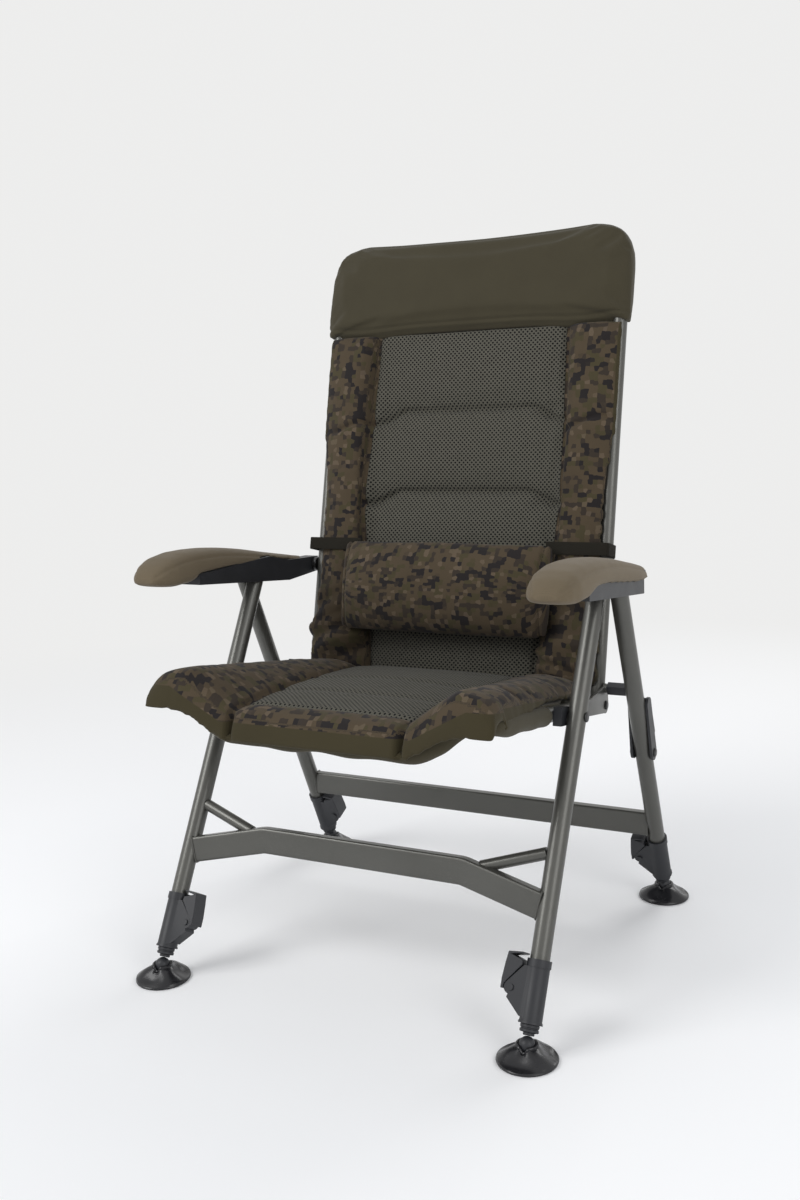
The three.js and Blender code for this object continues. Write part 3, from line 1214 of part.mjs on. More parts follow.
function armPad(body) {
  const inner = ARM_INNER - ARM_PAD_OVERLAP_IN;
  const outer = ARM_OUTER + ARM_PAD_OVERLAP_OUT;
  const middle = (inner + outer) / 2;
  const half = (outer - inner) / 2;
  const tailMiddle = inner + ARM_BOSS_LENGTH / 2 + ARM_PAD_OVERLAP_IN;
  const tailHalf = ARM_BOSS_LENGTH / 2 + ARM_PAD_OVERLAP_IN;
  const topShares = [0.16, 0.25, 0.35, 0.45, 0.55, 0.67, 0.78, 0.86, 0.93, 0.97, 1, 0.99, 0.95];
  const seamShares = [0.02, 0.02, 0.02, 0.04, 0.1, 0.18, 0.25, 0.33, 0.4, 0.42, 0.29, 0.27, 0.31];
  const crest = armRoof + ARM_WALL + ARM_CREST;
  const along = (shares, share) => {
    const spot = share * (shares.length - 1);
    const index = Math.min(Math.floor(spot), shares.length - 2);
    return crest * mix(shares[index], shares[index + 1], spot - index);
  };
  const surface = (isTop) => (across, share) => {
    const reach = mix(-ARM_TAIL + FIT, ARM_NOSE_REACH, share);
    const tail = 1 - ease(share, ...ARM_TAIL_EASE_SHARES);
    const noseShare = Math.max(0, share - 1 + ARM_NOSE_SHARE) / ARM_NOSE_SHARE;
    const nose = fullness(noseShare, FULLNESS.armNose);
    const width = mix(half, tailHalf, tail) * mix(ARM_NOSE_WIDTH_SHARE, 1, nose);
    const centre = mix(middle, tailMiddle, tail);
    const top = along(topShares, share);
    const seam = along(seamShares, share);
    const round = fullness(across, FULLNESS.armSides) * fullness(share, FULLNESS.armEnds);
    const rim = mix(seam, top, ARM_RIM_SHARE);
    const height = isTop ? mix(rim, top, round) : mix(rim, seam, round);
    return point(centre + across * width, -reach, height);
  };
  const acrossShares = bothSides([0, 0.35, 0.65, 0.85, 0.95, 1]);
  const lengthShares = [0, 0.08, 0.18, 0.3, 0.45, 0.58, 0.67, 0.75, 0.83, 0.91, 0.96, 0.99, 1];
  const block = padBody(acrossShares, lengthShares, surface(true), surface(false));
  const grownBody = body.clone();
  grownBody.computeBoundingBox();
  const size = grownBody.boundingBox.getSize(point(0, 0, 0));
  const centre = grownBody.boundingBox.getCenter(point(0, 0, 0));
  grownBody.translate(-centre.x, -centre.y, -centre.z);
  const grown = size.clone().addScalar(2 * FIT).divide(size);
  grownBody.scale(grown.x, grown.y, grown.z);
  grownBody.translate(centre.x, centre.y, centre.z);
  const bushReach = ARM_BUSH_RADIUS + ARM_TAIL;
  const bushLine = [
    flat(-bushReach, -bushReach),
    flat(bushReach, -bushReach),
    flat(bushReach, bushReach),
    flat(-bushReach, bushReach),
  ];
  const bushPlace = sideSlab(bushLine, ARM_INNER - OVERRUN, ARM_INNER + FIT);
  const boltEnd = ARM_INNER + ARM_BOSS_LENGTH;
  const boltPlace = acrossRod(boltEnd, boltEnd + BOLT_HEAD + FIT, 0, 0, BOLT_HEAD_RADIUS + FIT);
  return cut(block, [grownBody, bushPlace, boltPlace]);
}

function makeArmrests() {
  const { body, base } = armBase();
  const pad = armPad(body);
  const tubeFace = RAIL_SIDE + BACK_TUBE_RADIUS + FIT;
  const bushRing = new THREE.Shape(ringOfPoints(ARM_BUSH_RADIUS, SMALL_SIDES));
  bushRing.holes.push(new THREE.Path(ringOfPoints(BOLT_RADIUS + FIT, SMALL_SIDES)));
  const bushDepth = ARM_INNER - FIT - tubeFace;
  const bushOptions = { depth: bushDepth, bevelEnabled: false };
  const bush = new THREE.ExtrudeGeometry(bushRing, bushOptions).applyMatrix4(sideTurn);
  bush.translate(tubeFace, 0, 0);
  const shankStart = RAIL_SIDE - BACK_TUBE_RADIUS;
  const shankEnd = ARM_INNER + ARM_BOSS_LENGTH + FIT;
  const bolt = join([
    acrossRod(shankStart, shankEnd + BOLT_HEAD, 0, 0, BOLT_RADIUS),
    acrossRod(shankEnd, shankEnd + BOLT_HEAD, 0, 0, BOLT_HEAD_RADIUS),
  ]);
  for (const [side, sign] of [["left", 1], ["right", -1]]) {
    place(`armrest_base_${side}`, onSide(base, sign), BLACK_PLASTIC, armPlane);
    place(`armrest_pad_${side}`, onSide(pad, sign), KHAKI, armPlane);
    place(`armrest_bush_${side}`, onSide(bush, sign), BOLT_STEEL, armPlane);
    place(`armrest_bolt_${side}`, onSide(bolt, sign), BOLT_STEEL, armPlane);
  }
}

makeFrontFrame();
makeRearFrame();
makeLegEnds();
makeSeatFrame();
makeSeatSoft();
makeLinks();
makeBackFrame();
makeBackSoft();
makeArmrests();

// The legs above are placed from the front feet; the origin goes to the middle of the whole
chair.updateMatrixWorld(true);
const extent = new THREE.Box3().setFromObject(chair, true);
chair.position.y = -(extent.min.y + extent.max.y) / 2;

export default chair;
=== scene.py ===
import json
import math

import bmesh
import bpy
import numpy as np
from mathutils import Matrix, Vector, noise


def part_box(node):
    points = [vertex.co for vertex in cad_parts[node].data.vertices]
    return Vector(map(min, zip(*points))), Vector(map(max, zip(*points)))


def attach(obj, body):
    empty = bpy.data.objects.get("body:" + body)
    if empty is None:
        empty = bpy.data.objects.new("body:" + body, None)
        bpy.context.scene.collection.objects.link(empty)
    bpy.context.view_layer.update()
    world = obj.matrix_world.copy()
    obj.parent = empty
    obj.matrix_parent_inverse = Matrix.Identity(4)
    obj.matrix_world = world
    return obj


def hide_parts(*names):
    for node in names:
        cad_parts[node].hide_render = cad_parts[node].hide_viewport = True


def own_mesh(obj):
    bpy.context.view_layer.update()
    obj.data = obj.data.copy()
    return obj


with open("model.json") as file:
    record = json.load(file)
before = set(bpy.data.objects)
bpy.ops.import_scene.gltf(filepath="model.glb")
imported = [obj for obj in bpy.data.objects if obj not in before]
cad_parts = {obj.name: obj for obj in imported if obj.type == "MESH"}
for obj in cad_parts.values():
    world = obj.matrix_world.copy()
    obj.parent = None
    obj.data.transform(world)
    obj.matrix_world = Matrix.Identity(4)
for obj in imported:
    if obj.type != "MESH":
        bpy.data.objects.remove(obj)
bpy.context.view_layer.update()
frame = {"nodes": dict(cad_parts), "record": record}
nodes = frame["nodes"]
record = frame["record"]
body_with = {
    node: body
    for body, members in record["behaviour"]["bodies"].items()
    for node in members
}
scene = bpy.context.scene

SIDES = (("left", 1), ("right", -1))
ENDS = ("front", "rear")

# Camera, solved from the photograph's legs, crossbars and feet
PHOTO_HEIGHT_PIXELS = 1200
FOCAL_PIXELS = 1207.21
SENSOR_MM = 36
CAMERA_PLACE = (0.813540, -1.602520, 0.845743)
CAMERA_YAW = 0.4766008
CAMERA_DOWN = 0.1723767
CAMERA_ROLL = -0.0429449

# Angles of the frames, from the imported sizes
SEAT_TILT = math.radians(10.4)
BACK_LEAN = math.radians(14.26)

# Steel frame
LEG_RADIUS = 0.013
RAIL_RADIUS = 0.011
CROSS_TUBE_RADIUS = 0.008
SEAT_TUBE_RADIUS = 0.009
BRACE_RADIUS = 0.0085
BAR_HEIGHT = 0.038
BAR_DEPTH = 0.016
BAR_BEND_SIDE = 0.160
BAR_BEND_RADIUS = 0.05
BAR_EDGE_POWER = 9
BAR_SIDES = 56
WELD_RADIUS = 0.0016
WELD_STEPS = 48
WELD_SIDES = 8
REAR_RAIL_GAP = 0.014
REAR_TUBE_INSET = 0.009
BOW_START = 0.009
RAIL_JOG_START = 0.092
RAIL_JOG_END = 0.130
SEAT_FRAME_LENGTH = 0.406
FRONT_RAIL_DROP = 0.044
FRONT_RAIL_FLAT_SIDE = 0.150
FRONT_RAIL_SLOPE_SIDE = 0.214
SEAT_CORNER_RADIUS = 0.045
BACK_CORNER_RADIUS = 0.062
BACK_LENGTH = 0.738
TUBE_SIDES = 40
BEND_STEPS = 10
BEND_REACH_SHARE = 0.49

# Bolts
BOLT_RADIUS = 0.004
BOLT_SIDES = 20
HEAD_SIDES = 24
BOLT_HEAD_RADIUS = 0.007
BOLT_HEAD = 0.0025
SOCKET_RADIUS = 0.0028

# Edges of the carried-over shapes
STEEL_EDGE = 0.0006
CLAMP_EDGE = 0.0007
PLASTIC_EDGE = 0.0008
EDGE_SEGMENTS = 2
SHARP_EDGE = math.radians(38)
FLAT_EDGE = math.radians(1)
MERGE_DISTANCE = 0.00001

# Upholstery
PANEL_UPS = (0.035, 0.309, 0.579)
PANEL_SIDES = (0.146, 0.174, 0.166)
SEAT_PANEL_AHEADS = (0.0, 0.434)
SEAT_PANEL_SIDES = (0.146, 0.130)
SEAT_BAND_AHEAD = 0.384
QUILT_UPS = (0.445, 0.309)
QUILT_ARCH = 0.022
QUILT_ARCH_START = 0.108
QUILT_ARCH_END = 0.168
SEAM_WIDTH = 0.0045
SEAM_DEPTH = 0.0055
HEAD_CORNER_RADIUS = 0.075
HEAD_EDGE = 0.013
HEAD_DIP = 0.010
SLEEVE_RADIUS = 0.0128
SLEEVE_HANG_SHARE = 1.1
SLEEVE_START = 0.236
STRAP_END_SIDE = 0.164
STRAP_THICKNESS = 0.0015
WEAVE_PITCH = 0.0011


def maths(operation):
    """A method that puts a value through one Math node."""
    return lambda value, *others: value.joined(operation, *others)


class Value:
    """A socket of a material's node tree that takes arithmetic."""

    def __init__(self, tree, socket):
        self.tree = tree
        self.socket = socket

    def joined(self, operation, *others):
        node = self.tree.nodes.new("ShaderNodeMath")
        node.operation = operation
        for place, other in zip(node.inputs, (self, *others)):
            if isinstance(other, Value):
                self.tree.links.new(other.socket, place)
            else:
                place.default_value = other
        return Value(self.tree, node.outputs[0])

    __add__ = __radd__ = maths("ADD")
    __mul__ = __rmul__ = maths("MULTIPLY")
    __sub__ = maths("SUBTRACT")
    __truediv__ = maths("DIVIDE")
    __pow__ = maths("POWER")
    fraction = maths("FRACT")
    sine = maths("SINE")
    least = maths("MINIMUM")
    most = maths("MAXIMUM")

    def __rsub__(self, other):
        return self * -1 + other

    def clear_of(self, edge, width):
        """0 below an edge and 1 above it, with a soft step of the width."""
        return ((self - edge) / width + 0.5).most(0).least(1)


class Finish:
    """One material, made of nodes around a Principled shader."""

    def __init__(self, name, roughness, **constants):
        self.material = bpy.data.materials.new(name)
        self.material.use_nodes = True
        self.tree = self.material.node_tree
        self.shader = self.tree.nodes["Principled BSDF"]
        self.shader.inputs["Roughness"].default_value = roughness
        for socket, number in constants.items():
            self.shader.inputs[socket.replace("_", " ")].default_value = number

    def node(self, kind, settings=None, sockets=None):
        """A node with its settings made first and its sockets filled or linked after."""
        made = self.tree.nodes.new(kind)
        for setting, chosen in (settings or {}).items():
            setattr(made, setting, chosen)
        for place, given in (sockets or {}).items():
            if isinstance(given, Value):
                self.tree.links.new(given.socket, made.inputs[place])
            else:
                made.inputs[place].default_value = given
        return made

    def value(self, node, output=0):
        return Value(self.tree, node.outputs[output])

    def place(self):
        return self.value(self.node("ShaderNodeTexCoord"), "Object")

    def cloth_place(self):
        return self.value(self.node("ShaderNodeUVMap", {"uv_map": "cloth"}))

    def mark(self, name):
        made = self.node("ShaderNodeAttribute", {"attribute_name": name})
        return self.value(made, "Fac")

    def speckle(self, where, scale, detail=2.0, roughness=0.5):
        made = self.node(
            "ShaderNodeTexNoise",
            {},
            {"Vector": where, "Scale": scale, "Detail": detail, "Roughness": roughness},
        )
        return self.value(made, "Fac")

    def parts(self, where):
        made = self.node("ShaderNodeSeparateXYZ", {}, {"Vector": where})
        return [self.value(made, axis) for axis in range(3)]

    def blend(self, share, first, second):
        """A colour between two, by a share of the second."""
        made = self.node("ShaderNodeMix", {"data_type": "RGBA"}, {"Factor": share})
        for place, given in (("A", first), ("B", second)):
            socket = next(s for s in made.inputs if s.name == place and s.type == "RGBA")
            if isinstance(given, Value):
                self.tree.links.new(given.socket, socket)
            else:
                socket.default_value = (*given, 1)
        return Value(self.tree, next(s for s in made.outputs if s.type == "RGBA"))

    def bump(self, height, depth):
        """The surface's normal, from a height of 0 to 1 and what 1 is in metres."""
        sockets = {"Height": height, "Distance": depth, "Strength": 1.0}
        return self.value(self.node("ShaderNodeBump", {}, sockets))

    def feed(self, **sockets):
        for name, given in sockets.items():
            self.tree.links.new(given.socket, self.shader.inputs[name.replace("_", " ")])
        return self.material


def aim_camera():
    data = bpy.data.cameras.new("photo_camera")
    data.sensor_width = SENSOR_MM
    data.lens = FOCAL_PIXELS / PHOTO_HEIGHT_PIXELS * SENSOR_MM
    camera = linked("photo_camera", data)
    turn = Matrix.Rotation(CAMERA_YAW, 4, "Z")
    turn @= Matrix.Rotation(math.pi / 2 - CAMERA_DOWN, 4, "X")
    turn @= Matrix.Rotation(CAMERA_ROLL, 4, "Z")
    camera.matrix_world = Matrix.Translation(CAMERA_PLACE) @ turn
    scene.camera = camera


# Places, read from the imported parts
def middle(node):
    low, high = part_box(node)
    return (low + high) / 2


def tilted(spot, angle):
    """A plane's own axes: X across, Z up along the plane, through a point."""
    return Matrix.Translation((0, spot.y, spot.z)) @ Matrix.Rotation(-angle, 4, "X")


def box_in(node, plane):
    """A CAD node's lowest and highest corners, measured in a plane's own axes."""
    home = plane.inverted()
    spots = [home @ vertex.co for vertex in nodes[node].data.vertices]
    low = Vector([min(spot[axis] for spot in spots) for axis in range(3)])
    high = Vector([max(spot[axis] for spot in spots) for axis in range(3)])
    return low, high


hinge = middle("back_hinge_bolt_left")
top_pin = middle("leg_top_pin_left")
seat_plane = tilted(hinge, SEAT_TILT)
back_plane = tilted(hinge, BACK_LEAN)
arm_plane = tilted(middle("armrest_bolt_left"), 0)
leg_planes = {}
for end in ENDS:
    rise = top_pin - middle(f"foot_ball_{end}_left")
    leg_planes[end] = tilted(top_pin, math.atan2(rise.y, rise.z))


# Shapes
def rounded(corners, radius):
    """Points along a polyline whose corners are rounded to a radius."""
    points = [corners[0].copy()]
    for last, corner, following in zip(corners, corners[1:], corners[2:]):
        before = last - corner
        after = following - corner
        half_turn = (math.pi - before.angle(after)) / 2
        most = min(before.length, after.length) * BEND_REACH_SHARE
        reach = min(radius * math.tan(half_turn), most)
        start = corner + before.normalized() * reach
        end = corner + after.normalized() * reach
        for step in range(BEND_STEPS + 1):
            share = step / BEND_STEPS
            near = start.lerp(corner, share)
            points.append(near.lerp(corner.lerp(end, share), share))
    points.append(corners[-1].copy())
    return points


def both_halves(half):
    """A line that runs on through its own mirror image."""
    return [*half, *[Vector((-spot.x, spot.y, spot.z)) for spot in reversed(half)]]


def stations(points, closed=False):
    """A matrix at each point, with Z along the line, turned as little as can be."""
    last = Vector((0, 0, 1))
    turn = last.rotation_difference(points[1] - points[0])
    last = points[1] - points[0]
    made = []
    end = len(points) - 1
    for index, spot in enumerate(points):
        if closed:
            ahead = points[(index + 1) % len(points)] - points[index - 1]
        else:
            ahead = points[min(index + 1, end)] - points[max(index - 1, 0)]
        turn = last.rotation_difference(ahead) @ turn
        last = ahead
        made.append(Matrix.Translation(spot) @ turn.to_matrix().to_4x4())
    return made


def upright(points, up):
    """A matrix at each point, with Z along the line and Y towards a direction."""
    end = len(points) - 1
    made = []
    for index, spot in enumerate(points):
        along = (points[min(index + 1, end)] - points[max(index - 1, 0)]).normalized()
        across = up.cross(along).normalized()
        turn = Matrix((across, along.cross(across), along)).transposed()
        made.append(Matrix.Translation(spot) @ turn.to_4x4())
    return made


def swept(points, radius, section=None, sides=TUBE_SIDES, closed=False, up=None):
    """A round or shaped bar along points; section moves the points of its first ring."""
    shape = bmesh.new()
    places = upright(points, up) if up else stations(points, closed)
    bmesh.ops.create_circle(shape, segments=sides, radius=radius, cap_ends=not closed)
    if section:
        for vertex in shape.verts:
            vertex.co = section(vertex.co)
    move(shape, places[0])
    first = list(shape.edges)
    ring = first
    for before, after in zip(places, places[1:]):
        made = bmesh.ops.extrude_edge_only(shape, edges=ring)["geom"]
        verts = {part for part in made if isinstance(part, bmesh.types.BMVert)}
        ring = [
            part
            for part in made
            if isinstance(part, bmesh.types.BMEdge) and verts.issuperset(part.verts)
        ]
        bmesh.ops.transform(shape, matrix=after @ before.inverted(), verts=list(verts))
    if closed:
        bmesh.ops.bridge_loops(shape, edges=[*first, *ring])
    else:
        bmesh.ops.contextual_create(shape, geom=ring)
    return shape


def turned(profile, steps=TUBE_SIDES):
    """A profile of (radius, height) points, turned about Z."""
    shape = bmesh.new()
    verts = [shape.verts.new((radius, 0, up)) for radius, up in profile]
    edges = [shape.edges.new(pair) for pair in zip(verts, verts[1:])]
    bmesh.ops.spin(
        shape,
        geom=[*verts, *edges],
        axis=(0, 0, 1),
        cent=(0, 0, 0),
        angle=2 * math.pi,
        steps=steps,
        use_merge=True,
    )
    bmesh.ops.remove_doubles(shape, verts=shape.verts, dist=MERGE_DISTANCE)
    return shape


def add(shape, other):
    """Puts another shape's faces into a shape."""
    mesh = bpy.data.meshes.new("joined")
    other.to_mesh(mesh)
    other.free()
    shape.from_mesh(mesh)
    bpy.data.meshes.remove(mesh)


def spaced(points, pitch):
    """The same line with points no further apart than a pitch."""
    made = [points[0]]
    for before, after in zip(points, points[1:]):
        count = max(1, math.ceil((after - before).length / pitch))
        made.extend(before.lerp(after, step / count) for step in range(1, count + 1))
    return made


def move(shape, matrix):
    bmesh.ops.transform(shape, matrix=matrix, verts=shape.verts)


def copy_of(node):
    shape = bmesh.new()
    shape.from_mesh(nodes[node].data)
    bmesh.ops.remove_doubles(shape, verts=shape.verts, dist=MERGE_DISTANCE)
    return shape


def rounded_box(half_wide, half_deep, power=BAR_EDGE_POWER):
    """Moves a circle's points to a box with rounded edges."""

    def section(spot):
        turn = math.atan2(spot.y, spot.x)
        across, along = math.cos(turn), math.sin(turn)
        reach = (abs(across) ** power + abs(along) ** power) ** (-1 / power)
        return Vector((half_wide * across * reach, half_deep * along * reach, 0))

    return section


# Pieces
def linked(name, data):
    thing = bpy.data.objects.new(name, data)
    scene.collection.objects.link(thing)
    return thing


def carry(piece, finish, node):
    """Gives a piece its finish, and puts it in a CAD node's body."""
    piece.data.materials.append(finish)
    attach(piece, body_with[node])
    return piece


def show(name, mesh, finish, node):
    """Makes a mesh a piece that stands for a CAD node."""
    piece = linked(name, mesh)
    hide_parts(node)
    return carry(piece, finish, node)


def mesh_of(name, shape):
    """A shape's mesh, smooth but for its sharp edges."""
    bmesh.ops.recalc_face_normals(shape, faces=shape.faces)
    for face in shape.faces:
        face.smooth = True
    for edge in shape.edges:
        edge.smooth = edge.calc_face_angle(0) < SHARP_EDGE
    mesh = bpy.data.meshes.new(name)
    shape.to_mesh(mesh)
    shape.free()
    return mesh


def break_edges(piece, width):
    bevel = piece.modifiers.new("edges", "BEVEL")
    bevel.width = width
    bevel.segments = EDGE_SEGMENTS
    bevel.limit_method = "ANGLE"
    bevel.angle_limit = SHARP_EDGE
    bevel.harden_normals = True


def refined(node, finish, edge):
    """A CAD node's own shape with smooth faces and broken edges."""
    shape = copy_of(node)
    bmesh.ops.dissolve_limit(
        shape, angle_limit=FLAT_EDGE, verts=shape.verts, edges=shape.edges
    )
    break_edges(show(f"{node}_part", mesh_of(node, shape), finish, node), edge)


# Finishes
STEEL_DARK = (0.074, 0.073, 0.066)
STEEL_PALE = (0.104, 0.103, 0.094)
STEEL_FLAKE = (0.2, 0.2, 0.18)
BOLT_DARK = (0.035, 0.035, 0.037)
BOLT_PALE = (0.1, 0.1, 0.1)
SOIL_DARK = (0.063, 0.046, 0.028)
SOIL_PALE = (0.083, 0.061, 0.037)
MOSS = (0.056, 0.047, 0.023)
BARK = (0.037, 0.028, 0.021)
CHARCOAL = (0.017, 0.014, 0.014)
SAND = (0.135, 0.100, 0.068)
# Painted shade for the hollows between the printed cloth's threads
PRINT_GAP_SHADE = (0.01, 0.009, 0.006)
WALL_DARK = (0.037, 0.030, 0.014)
WALL_PALE = (0.050, 0.041, 0.020)
# Painted shade for the hollows between the olive wall's threads
WALL_GAP_SHADE = (0.02, 0.018, 0.01)
NET_DARK = (0.071, 0.067, 0.053)
NET_PALE = (0.098, 0.093, 0.073)
NET_RIM = (0.15, 0.143, 0.117)
# Painted shade seen through the net's holes
NET_HOLE_SHADE = (0.006, 0.006, 0.005)
STITCH = (0.012, 0.011, 0.008)
WEBBING_DARK = (0.010, 0.009, 0.007)
WEBBING_PALE = (0.026, 0.023, 0.017)
NET_PITCH = 0.0074
HOLE_RADIUS = 0.0018
RIM_RADIUS = 0.0027
PATCHES_PER_METRE = 142.0


def powder_coat():
    finish = Finish("powder_coat", 0.4, Metallic=0.52, Coat_Weight=0.15)
    where = finish.place()
    grain = finish.speckle(where, 1400, 1)
    shade = finish.blend(finish.speckle(where, 9, 4), STEEL_DARK, STEEL_PALE)
    flake = finish.speckle(where, 2600, 0).clear_of(0.66, 0.05)
    return finish.feed(
        Base_Color=finish.blend(flake * 0.5, shade, STEEL_FLAKE),
        Roughness=finish.speckle(where, 30, 3) * 0.12 + 0.29,
        Normal=finish.bump(grain, depth=0.00006),
    )


def bolt_steel():
    finish = Finish("bolt_steel", 0.35, Metallic=0.9)
    wear = finish.speckle(finish.place(), 160, 3)
    return finish.feed(
        Base_Color=finish.blend(wear, BOLT_DARK, BOLT_PALE),
        Roughness=wear * 0.2 + 0.25,
        Normal=finish.bump(wear, depth=0.00004),
    )


def moulded(name, low, high, roughness, grain_depth):
    finish = Finish(name, roughness, Specular_IOR_Level=0.4)
    where = finish.place()
    grain = finish.speckle(where, 1900, 1)
    smear = finish.speckle(where, 24, 4, 0.6)
    return finish.feed(
        Base_Color=finish.blend(smear, low, high),
        Roughness=smear * 0.2 + (roughness - 0.1),
        Normal=finish.bump(grain, grain_depth),
    )


def weave_height(finish, where):
    """A plain weave: over and under threads at a pitch, from 0 to 1."""
    across, along, _ = finish.parts(where)
    first = (across * (math.pi / WEAVE_PITCH)).sine()
    second = (along * (math.pi / WEAVE_PITCH)).sine()
    return first * second * 0.5 + 0.5


def knit(name, low, high, roughness=0.9):
    """A close stretch knit with soft mottling, painted shade in the hollows between its threads, and
    a darker line along hems.
    """
    finish = Finish(name, roughness, Sheen_Weight=0.1, Sheen_Roughness=0.5, Specular_IOR_Level=0.2)
    where = finish.cloth_place()
    threads = weave_height(finish, where)
    fuzz = finish.speckle(where, 900, 2)
    shade = finish.blend(finish.speckle(where, 14, 4, 0.6), low, high)
    # The hollows between threads are darkened: painted shade in the knit
    dark = [channel * 0.6 for channel in low]
    colour = finish.blend(threads.clear_of(0.15, 0.5) * 0.6 + 0.4, dark, shade)
    colour = finish.blend(finish.mark("hem") * 0.8, colour, STITCH)
    height = threads * 0.6 + fuzz * 0.4
    return finish.feed(Base_Color=colour, Normal=finish.bump(height, depth=0.00012))


def patches(finish, where):
    """Small patches of browns and charcoal, laid at random."""
    cells = finish.node(
        "ShaderNodeTexVoronoi",
        {"voronoi_dimensions": "2D"},
        {"Vector": where, "Scale": PATCHES_PER_METRE, "Randomness": 0.5},
    )
    spot = finish.value(cells, "Position")
    chance = finish.parts(finish.value(cells, "Color"))[0]
    ground = finish.blend(finish.speckle(where, 16, 3), SOIL_DARK, SOIL_PALE)
    moss = finish.speckle(spot, 52, 1).clear_of(0.56, 0.01)
    colour = finish.blend(moss * 0.85, ground, MOSS)
    bark = finish.speckle(spot, 74, 0).clear_of(0.6, 0.01)
    colour = finish.blend(bark, colour, BARK)
    shift = {0: spot, 1: (3.7, 1.9, 0.0)}
    shifted = finish.value(finish.node("ShaderNodeVectorMath", {"operation": "ADD"}, shift))
    charcoal = finish.speckle(shifted, 46, 1).clear_of(0.585, 0.01)
    colour = finish.blend(charcoal, colour, CHARCOAL)
    sand = chance.clear_of(0.9, 0.01) * (1 - charcoal)
    return finish.blend(sand * 0.6, colour, SAND)


def net_grid(where, offset, finish):
    """How far a place is from the nearest hole of one of the net's two grids."""
    across, up, _ = finish.parts(where)
    away = ((across / NET_PITCH + offset).fraction() - 0.5) * NET_PITCH
    above = ((up / NET_PITCH + offset).fraction() - 0.5) * NET_PITCH
    return (away * away + above * above * 1.3) ** 0.5


def printed_cloth():
    """The printed cover, with its net panel and olive walls laid out by attributes."""
    finish = Finish(
        "camo_cloth", 0.9, Sheen_Weight=0.06, Sheen_Roughness=0.5, Specular_IOR_Level=0.18
    )
    where = finish.cloth_place()
    threads = weave_height(finish, where)
    over = threads.clear_of(0.1, 0.4)
    # The hollows between threads are darkened: painted shade in the weave
    printed = finish.blend(over * 0.45 + 0.55, PRINT_GAP_SHADE, patches(finish, where))
    olive = finish.blend(finish.speckle(where, 7, 3), WALL_DARK, WALL_PALE)
    # The hollows between the olive wall's threads are darkened: painted shade in the weave
    olive = finish.blend(over * 0.4 + 0.6, WALL_GAP_SHADE, olive)
    gap = net_grid(where, 0.0, finish).least(net_grid(where, 0.5, finish))
    hole = 1 - gap.clear_of(HOLE_RADIUS, 0.0007)
    rim = 1 - gap.clear_of(RIM_RADIUS, 0.0012)
    net = finish.blend(finish.speckle(where, 60, 3), NET_DARK, NET_PALE)
    net = finish.blend(rim * 0.45, net, NET_RIM)
    # The holes are filled with near-black: painted shade behind the net
    net = finish.blend(hole, net, NET_HOLE_SHADE)
    on_panel = finish.mark("panel").clear_of(0.0, 0.0008)
    on_wall = finish.mark("wall").clear_of(0.0, 0.001)
    colour = finish.blend(on_wall, printed, olive)
    colour = finish.blend(on_panel, colour, net)
    stitch_line = 1 - finish.mark("stitch").clear_of(0.0009, 0.0006)
    colour = finish.blend(stitch_line * 0.7, colour, STITCH)
    cloth_height = threads * 0.06 + finish.speckle(where, 700, 2) * 0.05
    net_height = (1 - hole) * 0.8 + rim * 0.2
    return finish.feed(
        Base_Color=colour,
        Roughness=0.86 - on_panel * 0.1 + hole * on_panel * 0.14,
        Normal=finish.bump(cloth_height * (1 - on_panel) + net_height * on_panel, depth=0.0011),
    )


def webbing():
    finish = Finish("webbing", 0.9, Specular_IOR_Level=0.15)
    across, along, _ = finish.parts(finish.cloth_place())
    ribs = (across * (math.pi / 0.0011)).sine() * (along * (math.pi / 0.0018)).sine()
    height = ribs * 0.5 + 0.5
    # Darker in the hollows between the ribs and paler on their crests: painted shade on the ribs
    colour = finish.blend(height, WEBBING_DARK, WEBBING_PALE)
    return finish.feed(Base_Color=colour, Normal=finish.bump(height, depth=0.0003))


finishes = {
    "steel": powder_coat(),
    "bolt": bolt_steel(),
    "plastic": moulded(
        "black_plastic",
        (0.016, 0.017, 0.020),
        (0.028, 0.029, 0.033),
        roughness=0.46,
        grain_depth=0.00005,
    ),
    "foot": moulded(
        "foot_plastic",
        (0.009, 0.009, 0.011),
        (0.020, 0.020, 0.022),
        roughness=0.27,
        grain_depth=0.00003,
    ),
    "camo": printed_cloth(),
    "olive": knit("olive_knit", (0.046, 0.039, 0.023), (0.060, 0.052, 0.031)),
    "khaki": knit("khaki_knit", (0.128, 0.100, 0.064), (0.166, 0.132, 0.086), roughness=0.92),
    "webbing": webbing(),
}


# Steel frame
def leg_tubes():
    for end in ENDS:
        plane = leg_planes[end]
        for side, _ in SIDES:
            node = f"{end}_leg_{side}"
            low, high = box_in(node, plane)
            across = (low.x + high.x) / 2
            ends = [plane @ Vector((across, 0, up)) for up in (low.z, high.z)]
            mesh = mesh_of(node, swept(ends, LEG_RADIUS))
            break_edges(show(f"{node}_tube", mesh, finishes["steel"], node), STEEL_EDGE)


def crossbars():
    plane = leg_planes["front"]
    low, high = box_in("front_crossbar", plane)
    end_up = low.z + BAR_HEIGHT / 2
    middle_up = high.z - BAR_HEIGHT / 2
    half = [Vector((high.x, 0, end_up)), Vector((BAR_BEND_SIDE, 0, middle_up))]
    bar("front_crossbar", plane, both_halves(half))
    plane = leg_planes["rear"]
    low, high = box_in("rear_crossbar", plane)
    up = (low.z + high.z) / 2
    bar("rear_crossbar", plane, [Vector((high.x, 0, up)), Vector((low.x, 0, up))])


